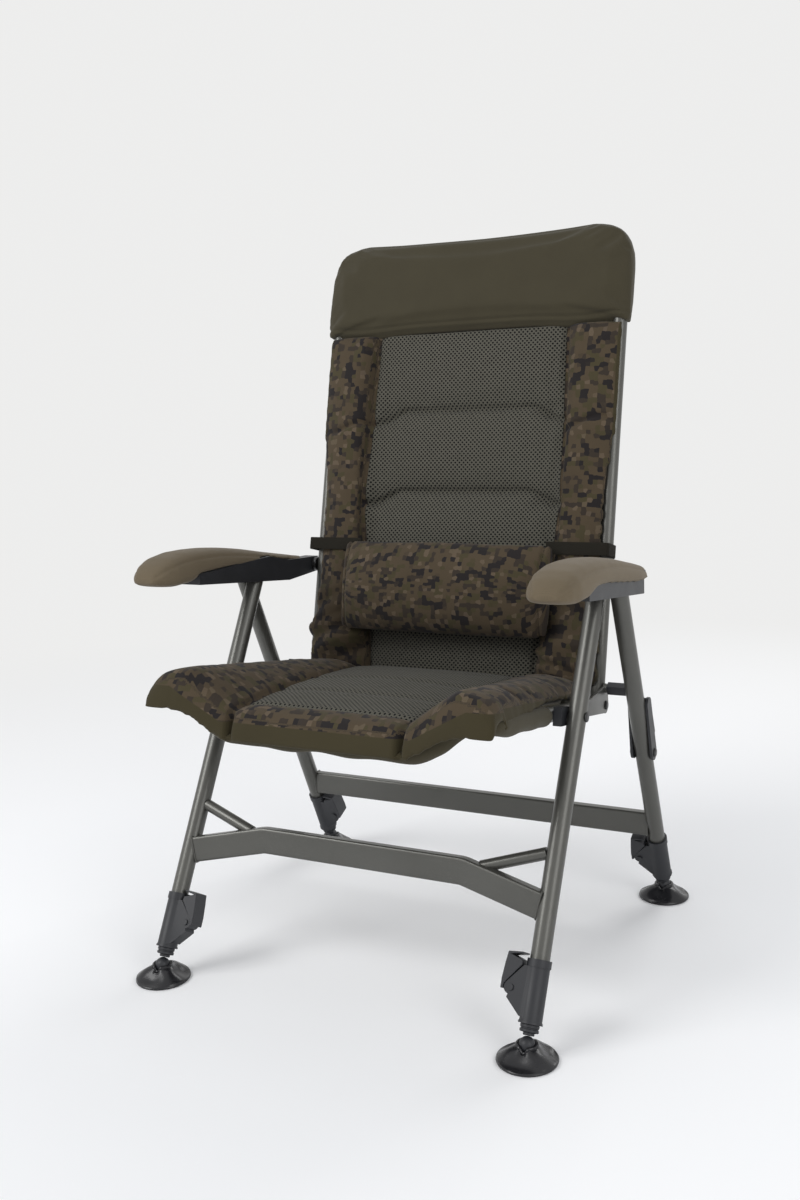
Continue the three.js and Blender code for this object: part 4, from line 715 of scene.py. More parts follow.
def bar(node, plane, corners):
    """A flat bar with rounded edges, and a weld round each end."""
    points = [plane @ spot for spot in rounded(corners, BAR_BEND_RADIUS)]
    section = rounded_box(BAR_HEIGHT / 2, BAR_DEPTH / 2)
    shape = swept(points, BAR_HEIGHT / 2, section, sides=BAR_SIDES)
    places = stations(points)
    for place in (places[0], places[-1]):
        ring = bmesh.new()
        bmesh.ops.create_circle(ring, segments=WELD_STEPS, radius=BAR_HEIGHT / 2)
        around = [place @ section(vertex.co) for vertex in ring.verts]
        ring.free()
        add(shape, swept(around, WELD_RADIUS, sides=WELD_SIDES, closed=True))
    show(f"{node}_bar", mesh_of(node, shape), finishes["steel"], node)


def braces():
    plane = leg_planes["front"]
    bar_up = box_in("front_crossbar", plane)[1].z
    leg_side = middle("front_leg_left").x
    for side, sign in SIDES:
        node = f"front_brace_{side}"
        low, high = box_in(node, plane)
        foot = Vector((sign * BAR_BEND_SIDE, 0, bar_up - BAR_HEIGHT / 2))
        slope = (high.z - low.z - 2 * BRACE_RADIUS) / (high.x - low.x)
        top_up = foot.z + (leg_side - BAR_BEND_SIDE) * slope
        top = Vector((sign * leg_side, 0, top_up))
        along = (top - foot).normalized()
        foot += along * (BAR_HEIGHT / 2 + BRACE_RADIUS)
        top -= along * LEG_RADIUS
        shape = swept([plane @ foot, plane @ top], BRACE_RADIUS)
        show(f"{node}_tube", mesh_of(node, shape), finishes["steel"], node)


def front_rail(rail_side):
    """Half of the seat's front rail, which dips in the middle."""
    return [
        Vector((rail_side, -SEAT_FRAME_LENGTH, 0)),
        Vector((FRONT_RAIL_SLOPE_SIDE, -SEAT_FRAME_LENGTH, 0)),
        Vector((FRONT_RAIL_FLAT_SIDE, -SEAT_FRAME_LENGTH, -FRONT_RAIL_DROP)),
    ]


def seat_tubes():
    high = box_in("seat_frame", seat_plane)[1]
    rear_side = high.x - 2 * RAIL_RADIUS - REAR_RAIL_GAP
    rail_side = high.x - RAIL_RADIUS
    half = [
        Vector((rear_side, high.y, 0)),
        Vector((rear_side, -RAIL_JOG_START, 0)),
        Vector((rail_side, -RAIL_JOG_END, 0)),
        *front_rail(rail_side),
    ]
    route = [seat_plane @ spot for spot in rounded(both_halves(half), SEAT_CORNER_RADIUS)]
    shape = swept(route, RAIL_RADIUS)
    tube_side = rear_side - REAR_TUBE_INSET
    ends = [seat_plane @ Vector((sign * tube_side, 0, 0)) for _, sign in SIDES]
    add(shape, swept(ends, SEAT_TUBE_RADIUS))
    show("seat_frame_tube", mesh_of("seat_frame", shape), finishes["steel"], "seat_frame")


def back_tubes():
    low, high = box_in("back_frame", back_plane)
    side = high.x - RAIL_RADIUS
    half = [Vector((side, 0, low.z)), Vector((side, 0, BACK_LENGTH))]
    route = [back_plane @ spot for spot in rounded(both_halves(half), BACK_CORNER_RADIUS)]
    shape = swept(route, RAIL_RADIUS)
    show("back_frame_tube", mesh_of("back_frame", shape), finishes["steel"], "back_frame")
    low, high = box_in("back_cross_tube", back_plane)
    up = (low.z + high.z) / 2
    behind = high.y - CROSS_TUBE_RADIUS
    half = [Vector((side, BOW_START, up)), Vector((side, behind, up))]
    route = [back_plane @ spot for spot in rounded(both_halves(half), 2 * CROSS_TUBE_RADIUS)]
    shape = swept(route, CROSS_TUBE_RADIUS)
    show("back_cross_bow", mesh_of("bow", shape), finishes["steel"], "back_cross_tube")


# A bolt's head, in shares of its radius and height, and its socket
HEAD_SHARES = ((0, 0), (1, 0), (1, 0.35), (0.85, 0.8))
SOCKET_SHARES = ((1.25, 1), (1, 0.9), (1, 0.2), (0, 0.2))


def bolt(node, *faces):
    """A shank with a domed, socketed head at its outer or inner face, or at both."""
    low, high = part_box(node)
    centre = (low + high) / 2
    outward = 1 if centre.x > 0 else -1
    inner, outer = (low.x, high.x) if outward > 0 else (high.x, low.x)
    ends = [Vector((across, centre.y, centre.z)) for across in (inner, outer)]
    shape = swept(ends, BOLT_RADIUS, sides=BOLT_SIDES)
    for face in faces:
        away = outward if face == "outer" else -outward
        profile = [(BOLT_HEAD_RADIUS * out, BOLT_HEAD * up) for out, up in HEAD_SHARES]
        profile += [(SOCKET_RADIUS * out, BOLT_HEAD * up) for out, up in SOCKET_SHARES]
        dome = turned(profile, HEAD_SIDES)
        start = (outer if face == "outer" else inner) - away * BOLT_HEAD
        turn = Matrix.Rotation(away * math.pi / 2, 4, "Y")
        move(dome, Matrix.Translation((start, centre.y, centre.z)) @ turn)
        add(shape, dome)
    show(f"{node}_screw", mesh_of(node, shape), finishes["bolt"], node)


def bolts():
    for side, _ in SIDES:
        bolt(f"seat_pivot_bolt_{side}", "outer")
        bolt(f"back_hinge_bolt_{side}", "outer")
        bolt(f"link_bolt_{side}", "outer", "inner")
        bolt(f"armrest_bolt_{side}", "outer")
        bolt(f"leg_top_pin_{side}")


# Plastic parts
def plastic_parts():
    for side, _ in SIDES:
        for node in ("link", "seat_bracket", "armrest_base"):
            refined(f"{node}_{side}", finishes["plastic"], PLASTIC_EDGE)
        refined(f"armrest_bush_{side}", finishes["bolt"], STEEL_EDGE)
        refined(f"hinge_plate_{side}", finishes["steel"], STEEL_EDGE)
        for end in ENDS:
            refined(f"clamp_{end}_{side}", finishes["plastic"], CLAMP_EDGE)
            refined(f"cam_lever_{end}_{side}", finishes["plastic"], CLAMP_EDGE)


def leg_ends():
    for end in ENDS:
        for side, _ in SIDES:
            extension(f"extension_leg_{end}_{side}", leg_planes[end])
            ball(f"foot_ball_{end}_{side}")
            mud_foot(f"mud_foot_{end}_{side}")


# Extension leg
STEM_RADIUS = 0.0075
STEM_TIP_SHARE = 0.9
INNER_TUBE_RADIUS = 0.0112
COLLAR_START = 0.004
COLLAR_HEIGHT = 0.010
COLLAR_ROUNDING = 0.0008
COLLAR_UNDERCUT = 0.0006
COLLAR_GROOVE = 0.001
COLLAR_GROOVE_SHARES = (0.35, 0.42, 0.52, 0.6)


def extension(node, plane):
    """A ball's stem, a grooved collar and the tube that slides in the leg."""
    low, high = box_in(node, plane)
    radius = (high.x - low.x) / 2
    inside = radius - COLLAR_GROOVE
    collar = low.z + COLLAR_START
    top = collar + COLLAR_HEIGHT
    groove_ups = [collar + COLLAR_HEIGHT * share for share in COLLAR_GROOVE_SHARES]
    profile = [
        (0, low.z),
        (STEM_RADIUS * STEM_TIP_SHARE, low.z),
        (STEM_RADIUS, low.z + COLLAR_ROUNDING),
        (STEM_RADIUS, collar - COLLAR_UNDERCUT),
        (radius - COLLAR_ROUNDING, collar),
        (radius, collar + COLLAR_ROUNDING),
        *zip((radius, inside, inside, radius), groove_ups),
        (radius, top - COLLAR_ROUNDING),
        (radius - COLLAR_ROUNDING, top),
        (INNER_TUBE_RADIUS, top),
        (INNER_TUBE_RADIUS, high.z),
        (0, high.z),
    ]
    shape = turned(profile)
    move(shape, plane @ Matrix.Translation(((low.x + high.x) / 2, 0, 0)))
    show(f"{node}_stem", mesh_of(node, shape), finishes["plastic"], node)


def ball(node):
    low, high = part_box(node)
    shape = bmesh.new()
    bmesh.ops.create_uvsphere(
        shape,
        u_segments=32,
        v_segments=20,
        radius=(high.x - low.x) / 2,
        matrix=Matrix.Translation((low + high) / 2),
    )
    show(f"{node}_joint", mesh_of(node, shape), finishes["plastic"], node)


# Mud foot: its profile runs from the ball's pocket over the boss and slope to the rim
POCKET_RADIUS = 0.0116
POCKET_POINTS = ((0, 0.008), (0.5, 0.0086), (0.82, 0.012), (1, 0.018))
BOSS_RADIUS = 0.0152
BOSS_DROPS = ((0.001, 0), (0, 0.0012), (0, 0.004))
SLOPE_SHARES = (0.08, 0.2, 0.32, 0.44, 0.56, 0.68, 0.8, 0.9, 0.96)
SLOPE_FLOOR = 0.0045
SLOPE_LOSS = 0.0085
SLOPE_POWER = 1.35
RIM_POINTS = ((0.0006, 0.0036), (0, 0.0026), (0.0004, 0.0008), (0.0015, 0))
FOOT_SIDES = 96
FOOT_LOBES = 3
LOBE_HEIGHT = 0.0042
LOBE_FLOOR = 0.004
LOBE_POWER = 0.8
NOTCH_DEPTH = 0.006
NOTCH_REACH = 0.003
NOTCH_HEIGHT = 0.008
NOTCH_FADE = 0.004
NOTCH_POWER = 6


def mud_foot(node):
    """A round foot with scooped lobes, and a notch for the leg on either side."""
    low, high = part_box(node)
    centre = (low + high) / 2
    radius = (high.x - low.x) / 2
    tall = high.z - low.z
    spread = radius - BOSS_RADIUS
    inside = [(POCKET_RADIUS * share, up) for share, up in POCKET_POINTS]
    lip = [(POCKET_RADIUS, tall - 0.001), (POCKET_RADIUS + 0.0008, tall)]
    boss = [(BOSS_RADIUS - inset, tall - drop) for inset, drop in BOSS_DROPS]
    slope = [
        (BOSS_RADIUS + spread * share, SLOPE_FLOOR + (tall - SLOPE_LOSS) * (1 - share) ** SLOPE_POWER)
        for share in SLOPE_SHARES
    ]
    rim = [(radius - inset, up) for inset, up in RIM_POINTS]
    shape = turned([*inside, *lip, *boss, *slope, *rim, (0, 0)], FOOT_SIDES)
    for vertex in shape.verts:
        reach = math.hypot(vertex.co.x, vertex.co.y)
        turn = math.atan2(vertex.co.y, vertex.co.x)
        share = min(1, max(0, (reach - BOSS_RADIUS) / spread))
        lobe = math.cos(FOOT_LOBES * turn + math.pi / 2)
        scoop = math.sin(math.pi * share) ** LOBE_POWER if 0 < share < 1 else 0
        if vertex.co.z > LOBE_FLOOR:
            vertex.co.z += LOBE_HEIGHT * scoop * lobe
        notch = max(0, math.cos(2 * turn - math.pi)) ** NOTCH_POWER
        above = vertex.co.z - tall + NOTCH_HEIGHT
        if reach < BOSS_RADIUS + NOTCH_REACH and above > 0:
            vertex.co.z -= NOTCH_DEPTH * notch * min(1, above / NOTCH_FADE)
    move(shape, Matrix.Translation((centre.x, centre.y, low.z)))
    show(f"{node}_disc", mesh_of(node, shape), finishes["foot"], node)


# Upholstery
def points_in(mesh, plane):
    """A mesh's points and normals, as arrays in a plane's own axes."""
    spots = np.empty(len(mesh.vertices) * 3)
    mesh.vertices.foreach_get("co", spots)
    normals = np.empty(len(mesh.vertices) * 3)
    mesh.vertex_normals.foreach_get("vector", normals)
    turn = np.array(plane.to_3x3())
    spots = (spots.reshape(-1, 3) - np.array(plane.translation)) @ turn
    return spots, normals.reshape(-1, 3) @ turn


def move_points(mesh, plane, moved):
    turn = np.array(plane.to_3x3())
    spots = moved @ turn.T + np.array(plane.translation)
    mesh.vertices.foreach_set("co", spots.ravel())
    mesh.update()


def settle(piece):
    """Applies a piece's modifiers to its mesh."""
    seen = piece.evaluated_get(bpy.context.evaluated_depsgraph_get())
    mesh = bpy.data.meshes.new_from_object(seen)
    piece.modifiers.clear()
    piece.data = mesh
    return mesh


CLOTH_PRESSURE = 4
CLOTH_FRAMES = 20
SMOOTH_STEPS = 4


def inflate(piece, plane, cap, held):
    """Lets air into a cover that is held along its seams, by no more than the cap."""
    before, normals = points_in(piece.data, plane)
    group = piece.vertex_groups.new(name="held")
    group.add(np.nonzero(held(before, normals))[0].tolist(), 1.0, "REPLACE")
    cloth = piece.modifiers.new("cloth", "CLOTH")
    cloth.settings.use_pressure = True
    cloth.settings.uniform_pressure_force = CLOTH_PRESSURE
    cloth.settings.effector_weights.gravity = 0
    cloth.settings.vertex_group_mass = "held"
    cloth.point_cache.frame_start = 1
    cloth.point_cache.frame_end = CLOTH_FRAMES
    for step in range(1, CLOTH_FRAMES + 1):
        scene.frame_set(step)
    mesh = settle(piece)
    after, _ = points_in(mesh, plane)
    shift = after - before
    share = cap / np.maximum(np.linalg.norm(shift, axis=1), cap)
    move_points(mesh, plane, before + shift * share[:, None])
    piece.vertex_groups.clear()
    scene.frame_set(1)


def cushion(name, shape, plane, voxel, cap, held):
    """A padded form made of a plain one, remeshed, inflated and smoothed."""
    mesh = bpy.data.meshes.new(name)
    shape.to_mesh(mesh)
    shape.free()
    piece = linked(name, mesh)
    remesh = piece.modifiers.new("remesh", "REMESH")
    remesh.mode = "VOXEL"
    remesh.voxel_size = voxel
    piece.modifiers.new("smooth", "SMOOTH").iterations = SMOOTH_STEPS
    settle(piece)
    inflate(piece, plane, cap, held)
    piece.modifiers.new("subdivide", "SUBSURF").levels = 1
    settle(piece)
    return piece


def groove(distance, width=SEAM_WIDTH):
    return np.exp(-((distance / width) ** 2))


def between(value, start, end):
    share = np.clip((value - start) / (end - start), 0, 1)
    return share * share * (3 - 2 * share)


def ripples(spots, scales, seed):
    """Soft folds of the cloth, from -1 to 1."""
    places = spots * np.array(scales) + seed
    return np.array([noise.noise(Vector(place)) for place in places])


def sink(piece, plane, depth_of):
    """Moves a piece's points inwards along their normals."""
    spots, normals = points_in(piece.data, plane)
    depth = depth_of(spots, normals)
    move_points(piece.data, plane, spots - normals * depth[:, None])


def mark(piece, name, values):
    attribute = piece.data.attributes.new(name, "FLOAT", "POINT")
    attribute.data.foreach_set("value", values.astype(np.float32))


def lay_cloth(piece, plane, flat_of):
    """The cloth's own map, in metres, from the places of a piece's points."""
    spots, normals = points_in(piece.data, plane)
    across, along = flat_of(spots, normals)
    corners = np.empty(len(piece.data.loops), np.int32)
    piece.data.loops.foreach_get("vertex_index", corners)
    layer = piece.data.uv_layers.new(name="cloth")
    pairs = np.stack([across[corners], along[corners]], axis=1)
    layer.data.foreach_set("uv", pairs.astype(np.float32).ravel())


def upholster(piece, finish, node):
    """Makes a cushion the padded piece that stands for a CAD node."""
    for polygon in piece.data.polygons:
        polygon.use_smooth = True
    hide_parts(node)
    carry(piece, finish, node)


def flatten(piece):
    """Gives a cushion a mesh of its own."""
    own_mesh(piece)


# Covers
COVER_VOXEL = 0.0055
COVER_SWELL = 0.007
SEAM_HOLD = 0.004
SEAM_FADE = (-0.002, 0.004)
BAND_FADE = (-0.004, 0.002)
OFF_PANEL = -0.01

# Back cushion
BACK_HELD_UP = 0.585
BACK_WALL_SIDE = 0.2545
QUILT_SHARE = 1.2
EASE_DEPTH = 0.003
QUILT_EASE = 0.018
PANEL_EASE = 0.014
PLEAT_DEPTH = 0.005
PLEAT_WIDTH = 0.005
PLEAT_UP = 0.436
PLEAT_WAVE = 0.008
PLEAT_TURNS = 60
GATHERS = ((14, 5, 52), 3.1)
GATHER_DEPTH = 0.014
GATHER_UPS = (0.21, 0.05)
GATHER_SLANT = 0.35
BULGE_DEPTH = -0.009
BULGE_UP = 0.08
BULGE_WIDTH = 0.055
BACK_TUCK = 0.014
BACK_TUCK_UPS = (0.060, 0.038)
BACK_TUCK_REACH = (-0.020, -0.010)


def back_seams(spots):
    """Signed distances: into the mesh panel, and to the nearest quilting seam."""
    across, _, up = spots.T
    panel = np.interp(up, PANEL_UPS, PANEL_SIDES) - np.abs(across)
    rise = QUILT_ARCH * between(np.abs(across), QUILT_ARCH_END, QUILT_ARCH_START)
    quilt = np.min([np.abs(up - (line + rise)) for line in QUILT_UPS], axis=0)
    return panel, quilt


def back_depth(spots, normals):
    """Seams, pleat, gathers and puckers of the back cushion's front and sides."""
    panel, quilt = back_seams(spots)
    across, _, up = spots.T
    facing = -normals[:, 1]
    inside = between(panel, *SEAM_FADE)
    border = between(-panel, *SEAM_FADE)
    seam = SEAM_DEPTH * groove(panel) + SEAM_DEPTH * QUILT_SHARE * groove(quilt) * inside
    seam += EASE_DEPTH * groove(quilt, QUILT_EASE) * inside + EASE_DEPTH * groove(panel, PANEL_EASE)
    wave = PLEAT_WAVE * np.sin(across * PLEAT_TURNS)
    pleat = PLEAT_DEPTH * groove(up - PLEAT_UP - wave, PLEAT_WIDTH) * border
    slanted = spots + np.abs(spots[:, :1]) * np.array([0, 0, GATHER_SLANT])
    gather = ripples(slanted, *GATHERS) * GATHER_DEPTH * between(up, *GATHER_UPS)
    bulge = BULGE_DEPTH * groove(up - BULGE_UP, BULGE_WIDTH)
    puckers = ripples(spots, (9, 4, 46), 6.4) * 0.0012
    fine = ripples(spots, (26, 9, 70), 8.3) * 0.0005
    loose = border * between(facing, -0.5, 0.1)
    return (seam + pleat) * between(facing, 0.1, 0.6) + (gather + bulge + puckers) * loose + fine


def back_cushion():
    def held(spots, normals):
        panel, quilt = back_seams(spots)
        seam = (np.abs(panel) < SEAM_HOLD) | ((quilt < SEAM_HOLD) & (panel > 0))
        return seam | (normals[:, 1] > 0.2) | (spots[:, 2] > BACK_HELD_UP)

    def flat(spots, normals):
        return np.where(np.abs(normals[:, 0]) > 0.8, spots[:, 1], spots[:, 0]), spots[:, 2]

    form = copy_of("back_pad")
    piece = cushion("back_cushion", form, back_plane, COVER_VOXEL, COVER_SWELL, held)
    sink(piece, back_plane, back_depth)
    spots, _ = points_in(piece.data, back_plane)
    tucked = between(spots[:, 2], *BACK_TUCK_UPS) * between(spots[:, 1], *BACK_TUCK_REACH)
    spots[:, 2] -= BACK_TUCK * tucked
    move_points(piece.data, back_plane, spots)
    spots, normals = points_in(piece.data, back_plane)
    panel, _ = back_seams(spots)
    facing = -normals[:, 1]
    mark(piece, "panel", np.minimum(panel, facing * 0.02))
    outer = np.minimum(np.abs(spots[:, 0]) - BACK_WALL_SIDE, 0.004)
    mark(piece, "wall", np.maximum(np.where(facing < 0, -OFF_PANEL, OFF_PANEL), outer))
    mark(piece, "stitch", np.where(facing > 0, np.abs(panel), 1))
    lay_cloth(piece, back_plane, flat)
    upholster(piece, finishes["camo"], "back_pad")
    flatten(piece)


# Seat cushion
SEAT_FRONT = 0.40
CHANNEL_DEPTH = 0.0025
CHANNEL_WIDTH = 0.010
CHANNEL_AHEADS = (0.2, 0.3)
TUCK_DEPTH = 0.008
TUCK_WIDTH = 0.004
PINCH_DEPTH = 0.004
PINCH_WIDTH = 0.005
PINCH_AHEADS = (0.33, 0.275)
PINCH_SIDES = (0.215, 0.25)
PINCH_UPS = (0.02, 0.045)
GUSSET_SIDES = (0.145, 0.160, 0.180, 0.200, 0.220)
GUSSET_FLOORS = (-0.041, -0.030, -0.018, -0.002, 0.008)
GUSSET_SIDE_FLOOR = 0.015
GUSSET_LOWERED_SIDES = (0.145, 0.225)
GUSSET_LOWERED_FLOORS = (-0.051, -0.008)
GUSSET_FRONTS = (0.405, 0.425)
GUSSET_BESIDES = (0.250, 0.260)
GUSSET_START_LENGTH = 0.03
GUSSET_HEIGHT = 0.030
GUSSET_STAND_OFF = 0.004
OLIVE_HEIGHT = 0.026
OLIVE_SIDE = 0.235
OLIVE_SIDE_FLOOR = -0.004


def seat_seams(spots):
    """Signed distances: into the seat's panel from its sides, and from its front band."""
    side = np.interp(-spots[:, 1], SEAT_PANEL_AHEADS, SEAT_PANEL_SIDES) - np.abs(spots[:, 0])
    return side, SEAT_BAND_AHEAD + spots[:, 1]


def hang_gusset(piece):
    """Lets the cushion's front and side walls hang over the rails."""
    spots, _ = points_in(piece.data, seat_plane)
    side = np.abs(spots[:, 0])
    ahead = -spots[:, 1]
    own = np.interp(side, GUSSET_SIDES, GUSSET_FLOORS)
    lowered = np.interp(side, GUSSET_LOWERED_SIDES, GUSSET_LOWERED_FLOORS)
    own = np.where(ahead < SEAT_FRONT, GUSSET_SIDE_FLOOR, own)
    share = between(spots[:, 2], own + GUSSET_HEIGHT, own)
    along = between(ahead, SLEEVE_START, SLEEVE_START + GUSSET_START_LENGTH)
    beside = between(side, *GUSSET_BESIDES) * along
    spots[:, 2] -= (own - lowered) * share * np.maximum(between(ahead, *GUSSET_FRONTS), beside)
    spots[:, 0] += np.sign(spots[:, 0]) * GUSSET_STAND_OFF * beside * share
    move_points(piece.data, seat_plane, spots)


def seat_depth(spots, normals):
    """Seams, channels, tucks, pinches and folds of the seat cushion."""
    side, band = seat_seams(spots)
    ahead = -spots[:, 1]
    top = between(normals[:, 2], -0.1, 0.5)
    face = between(-normals[:, 1], 0.3, 0.8)
    inside = between(side, *SEAM_FADE)
    border = 1 - inside * between(band, *BAND_FADE)
    seam = SEAM_DEPTH * groove(side) * np.maximum(top, face)
    seam += SEAM_DEPTH * groove(band) * inside * top
    channel = sum(groove(ahead - place, CHANNEL_WIDTH) for place in CHANNEL_AHEADS)
    channel *= CHANNEL_DEPTH * inside * top
    tuck = TUCK_DEPTH * groove(side, TUCK_WIDTH) * face
    pinch = PINCH_DEPTH * sum(groove(ahead - place, PINCH_WIDTH) for place in PINCH_AHEADS)
    pinch *= between(np.abs(spots[:, 0]), *PINCH_SIDES) * between(spots[:, 2], *PINCH_UPS)
    rear = between(ahead, 0.2, 0.05)
    fold = ripples(spots, (8, 40, 5), 1.7) * (0.0009 + 0.002 * rear) * border
    fine = ripples(spots, (24, 60, 12), 5.9) * 0.0006
    return seam + tuck + channel + pinch + fold + fine


def seat_cushion():
    def held(spots, normals):
        side, band = seat_seams(spots)
        seam = (np.abs(side) < SEAM_HOLD) | ((np.abs(band) < SEAM_HOLD) & (side > 0))
        return seam | (normals[:, 2] < -0.2)

    def flat(spots, normals):
        across, back, up = spots.T
        wall = np.abs(normals[:, 2]) < 0.4
        return np.where(wall, across - back, across), np.where(wall, up, back)

    form = copy_of("seat_pad")
    piece = cushion("seat_cushion", form, seat_plane, COVER_VOXEL, COVER_SWELL, held)
    sink(piece, seat_plane, seat_depth)
    hang_gusset(piece)
    spots, normals = points_in(piece.data, seat_plane)
    side, band = seat_seams(spots)
    across, back, up = spots.T
    upward = normals[:, 2]
    mark(piece, "panel", np.min([side, band, upward * 0.02], axis=0))
    floor = np.interp(np.abs(across), GUSSET_LOWERED_SIDES, GUSSET_LOWERED_FLOORS)
    floor = np.where(back > -SEAT_FRONT, OLIVE_SIDE_FLOOR, floor)
    outside = (np.abs(across) > OLIVE_SIDE) | (back < -SEAT_FRONT) | (upward < -0.3)
    below = np.where(outside, floor + OLIVE_HEIGHT - up, OFF_PANEL)
    mark(piece, "wall", np.where(upward < -0.3, -OFF_PANEL, below))
    seam = np.where((side > 0) & (band < side), np.abs(band), np.abs(side))
    mark(piece, "stitch", np.where(upward > -0.2, seam, 1))
    lay_cloth(piece, seat_plane, flat)
    upholster(piece, finishes["camo"], "seat_pad")
    flatten(piece)


# Headrest, pillow, armrests and strap
HEAD_VOXEL = 0.005
HEAD_SWELL = 0.005
HEAD_HELD_DEPTH = 0.006
HEAD_HEM_UP = 0.013
HEAD_HEM_DEPTH = 0.0022
HEAD_HEM_WIDTH = 0.003
HEAD_FOLD_DEPTH = 0.004
HEM_DIP = 0.006
HEM_DIP_SIDE = 0.19
HEM_DIP_WIDTH = 0.06
PILLOW_VOXEL = 0.005
PILLOW_SWELL = 0.006
PILLOW_END_INSET = 0.012
PILLOW_SEAM = 0.003
PILLOW_PULLED_SIDES = (0.09, 0.18)
ARM_VOXEL = 0.004
ARM_SWELL = 0.002
ARM_STEPS = 24
ARM_STEP_REACH = 0.012
ARM_SEAM_DROP = 0.013
ARM_SEAM_DEPTH = 0.0014
ARM_SEAM_WIDTH = 0.0022
STRAP_BEND_RADIUS = 0.006
STRAP_EDGE_POWER = 6
STRAP_SIDES = 24
SLEEVE_PITCH = 0.006
SLEEVE_SIDES = 32


def head_form(low, high):
    """The headrest's outline with round top corners, given its thickness."""
    corners = [
        Vector((high.x, low.y, low.z)),
        Vector((high.x, low.y, high.z)),
        Vector((low.x, low.y, high.z)),
        Vector((low.x, low.y, low.z)),
    ]
    shape = bmesh.new()
    outline = [shape.verts.new(spot) for spot in rounded(corners, HEAD_CORNER_RADIUS)]
    face = shape.faces.new(outline)
    made = bmesh.ops.extrude_face_region(shape, geom=[face])["geom"]
    far = [part for part in made if isinstance(part, bmesh.types.BMVert)]
    bmesh.ops.translate(shape, verts=far, vec=(0, high.y - low.y, 0))
    rims = [
        edge
        for edge in shape.edges
        if abs(edge.verts[0].co.y - edge.verts[1].co.y) < MERGE_DISTANCE
    ]
    bmesh.ops.bevel(
        shape, geom=rims, offset=HEAD_EDGE, segments=4, profile=0.5, affect="EDGES", material=-1
    )
    bmesh.ops.recalc_face_normals(shape, faces=shape.faces)
    move(shape, back_plane)
    return shape


def head_cushion():
    low, high = box_in("headrest", back_plane)

    def depth(spots, normals):
        outward = between(np.abs(normals[:, 1]), 0.2, 0.7)
        slow = ripples(spots, (7, 6, 9), 2.2) * HEAD_FOLD_DEPTH
        hem = HEAD_HEM_DEPTH * groove(spots[:, 2] - low.z - HEAD_HEM_UP, HEAD_HEM_WIDTH)
        return (slow + hem) * outward

    piece = cushion(
        "head_cushion",
        head_form(low, high),
        back_plane,
        HEAD_VOXEL,
        HEAD_SWELL,
        lambda s, n: np.abs(s[:, 1]) < HEAD_HELD_DEPTH,
    )
    sink(piece, back_plane, depth)
    spots, _ = points_in(piece.data, back_plane)
    share = (spots[:, 2] - low.z) / (high.z - low.z)
    spots[:, 2] -= HEAD_DIP * (1 - (spots[:, 0] / high.x) ** 2) * np.clip(share, 0, 1) ** 2
    dip = groove(np.abs(spots[:, 0]) - HEM_DIP_SIDE, HEM_DIP_WIDTH) * np.clip(1 - share, 0, 1) ** 3
    spots[:, 2] -= HEM_DIP * dip
    move_points(piece.data, back_plane, spots)
    lay_cloth(piece, back_plane, lambda s, n: (s[:, 0] + s[:, 1], s[:, 2]))
    upholster(piece, finishes["olive"], "headrest")


def pillow():
    low, high = box_in("lumbar_pillow", back_plane)
    centre = (low + high) / 2
    end = high.x - PILLOW_END_INSET

    def held(spots, normals):
        seam = np.abs(np.abs(spots[:, 0]) - end) < SEAM_HOLD
        return seam | (normals[:, 1] > 0.3)

    def depth(spots, normals):
        side = np.abs(spots[:, 0])
        seam = PILLOW_SEAM * groove(side - end, PILLOW_SEAM)
        fold = ripples(spots, (34, 9, 12), 4.4) * 0.0016 * between(side, *PILLOW_PULLED_SIDES)
        return seam + fold + ripples(spots, (10, 14, 14), 6.1) * 0.0015

    def flat(spots, normals):
        across, back, up = spots.T
        return across + 0.5, np.arctan2(up - centre.z, -(back - centre.y)) * 0.06 + 0.3

    form = copy_of("lumbar_pillow")
    piece = cushion("lumbar_roll", form, back_plane, PILLOW_VOXEL, PILLOW_SWELL, held)
    sink(piece, back_plane, depth)
    spots, _ = points_in(piece.data, back_plane)
    for name in ("panel", "wall"):
        mark(piece, name, np.full(len(spots), OFF_PANEL))
    mark(piece, "stitch", np.abs(np.abs(spots[:, 0]) - end))
    lay_cloth(piece, back_plane, flat)
    upholster(piece, finishes["camo"], "lumbar_pillow")
    flatten(piece)


def arm_cushions():
    for side, _ in SIDES:
        node = f"armrest_pad_{side}"
        piece = cushion(
            f"arm_cushion_{side}",
            copy_of(node),
            arm_plane,
            ARM_VOXEL,
            ARM_SWELL,
            lambda s, n: n[:, 2] < 0.1,
        )
        _, back, up = points_in(piece.data, arm_plane)[0].T
        steps = np.linspace(back.min(), back.max(), ARM_STEPS)
        tops = [up[np.abs(back - step) < ARM_STEP_REACH].max() for step in steps]

        def depth(spots, normals, tops=tops, steps=steps):
            seam = spots[:, 2] - np.interp(spots[:, 1], steps, tops) + ARM_SEAM_DROP
            aside = between(np.abs(normals[:, 0]), 0.25, 0.5)
            return ARM_SEAM_DEPTH * groove(seam, ARM_SEAM_WIDTH) * aside

        sink(piece, arm_plane, depth)
        lay_cloth(piece, arm_plane, lambda s, n: (s[:, 0] + s[:, 2] * n[:, 0], s[:, 1]))
        upholster(piece, finishes["khaki"], node)


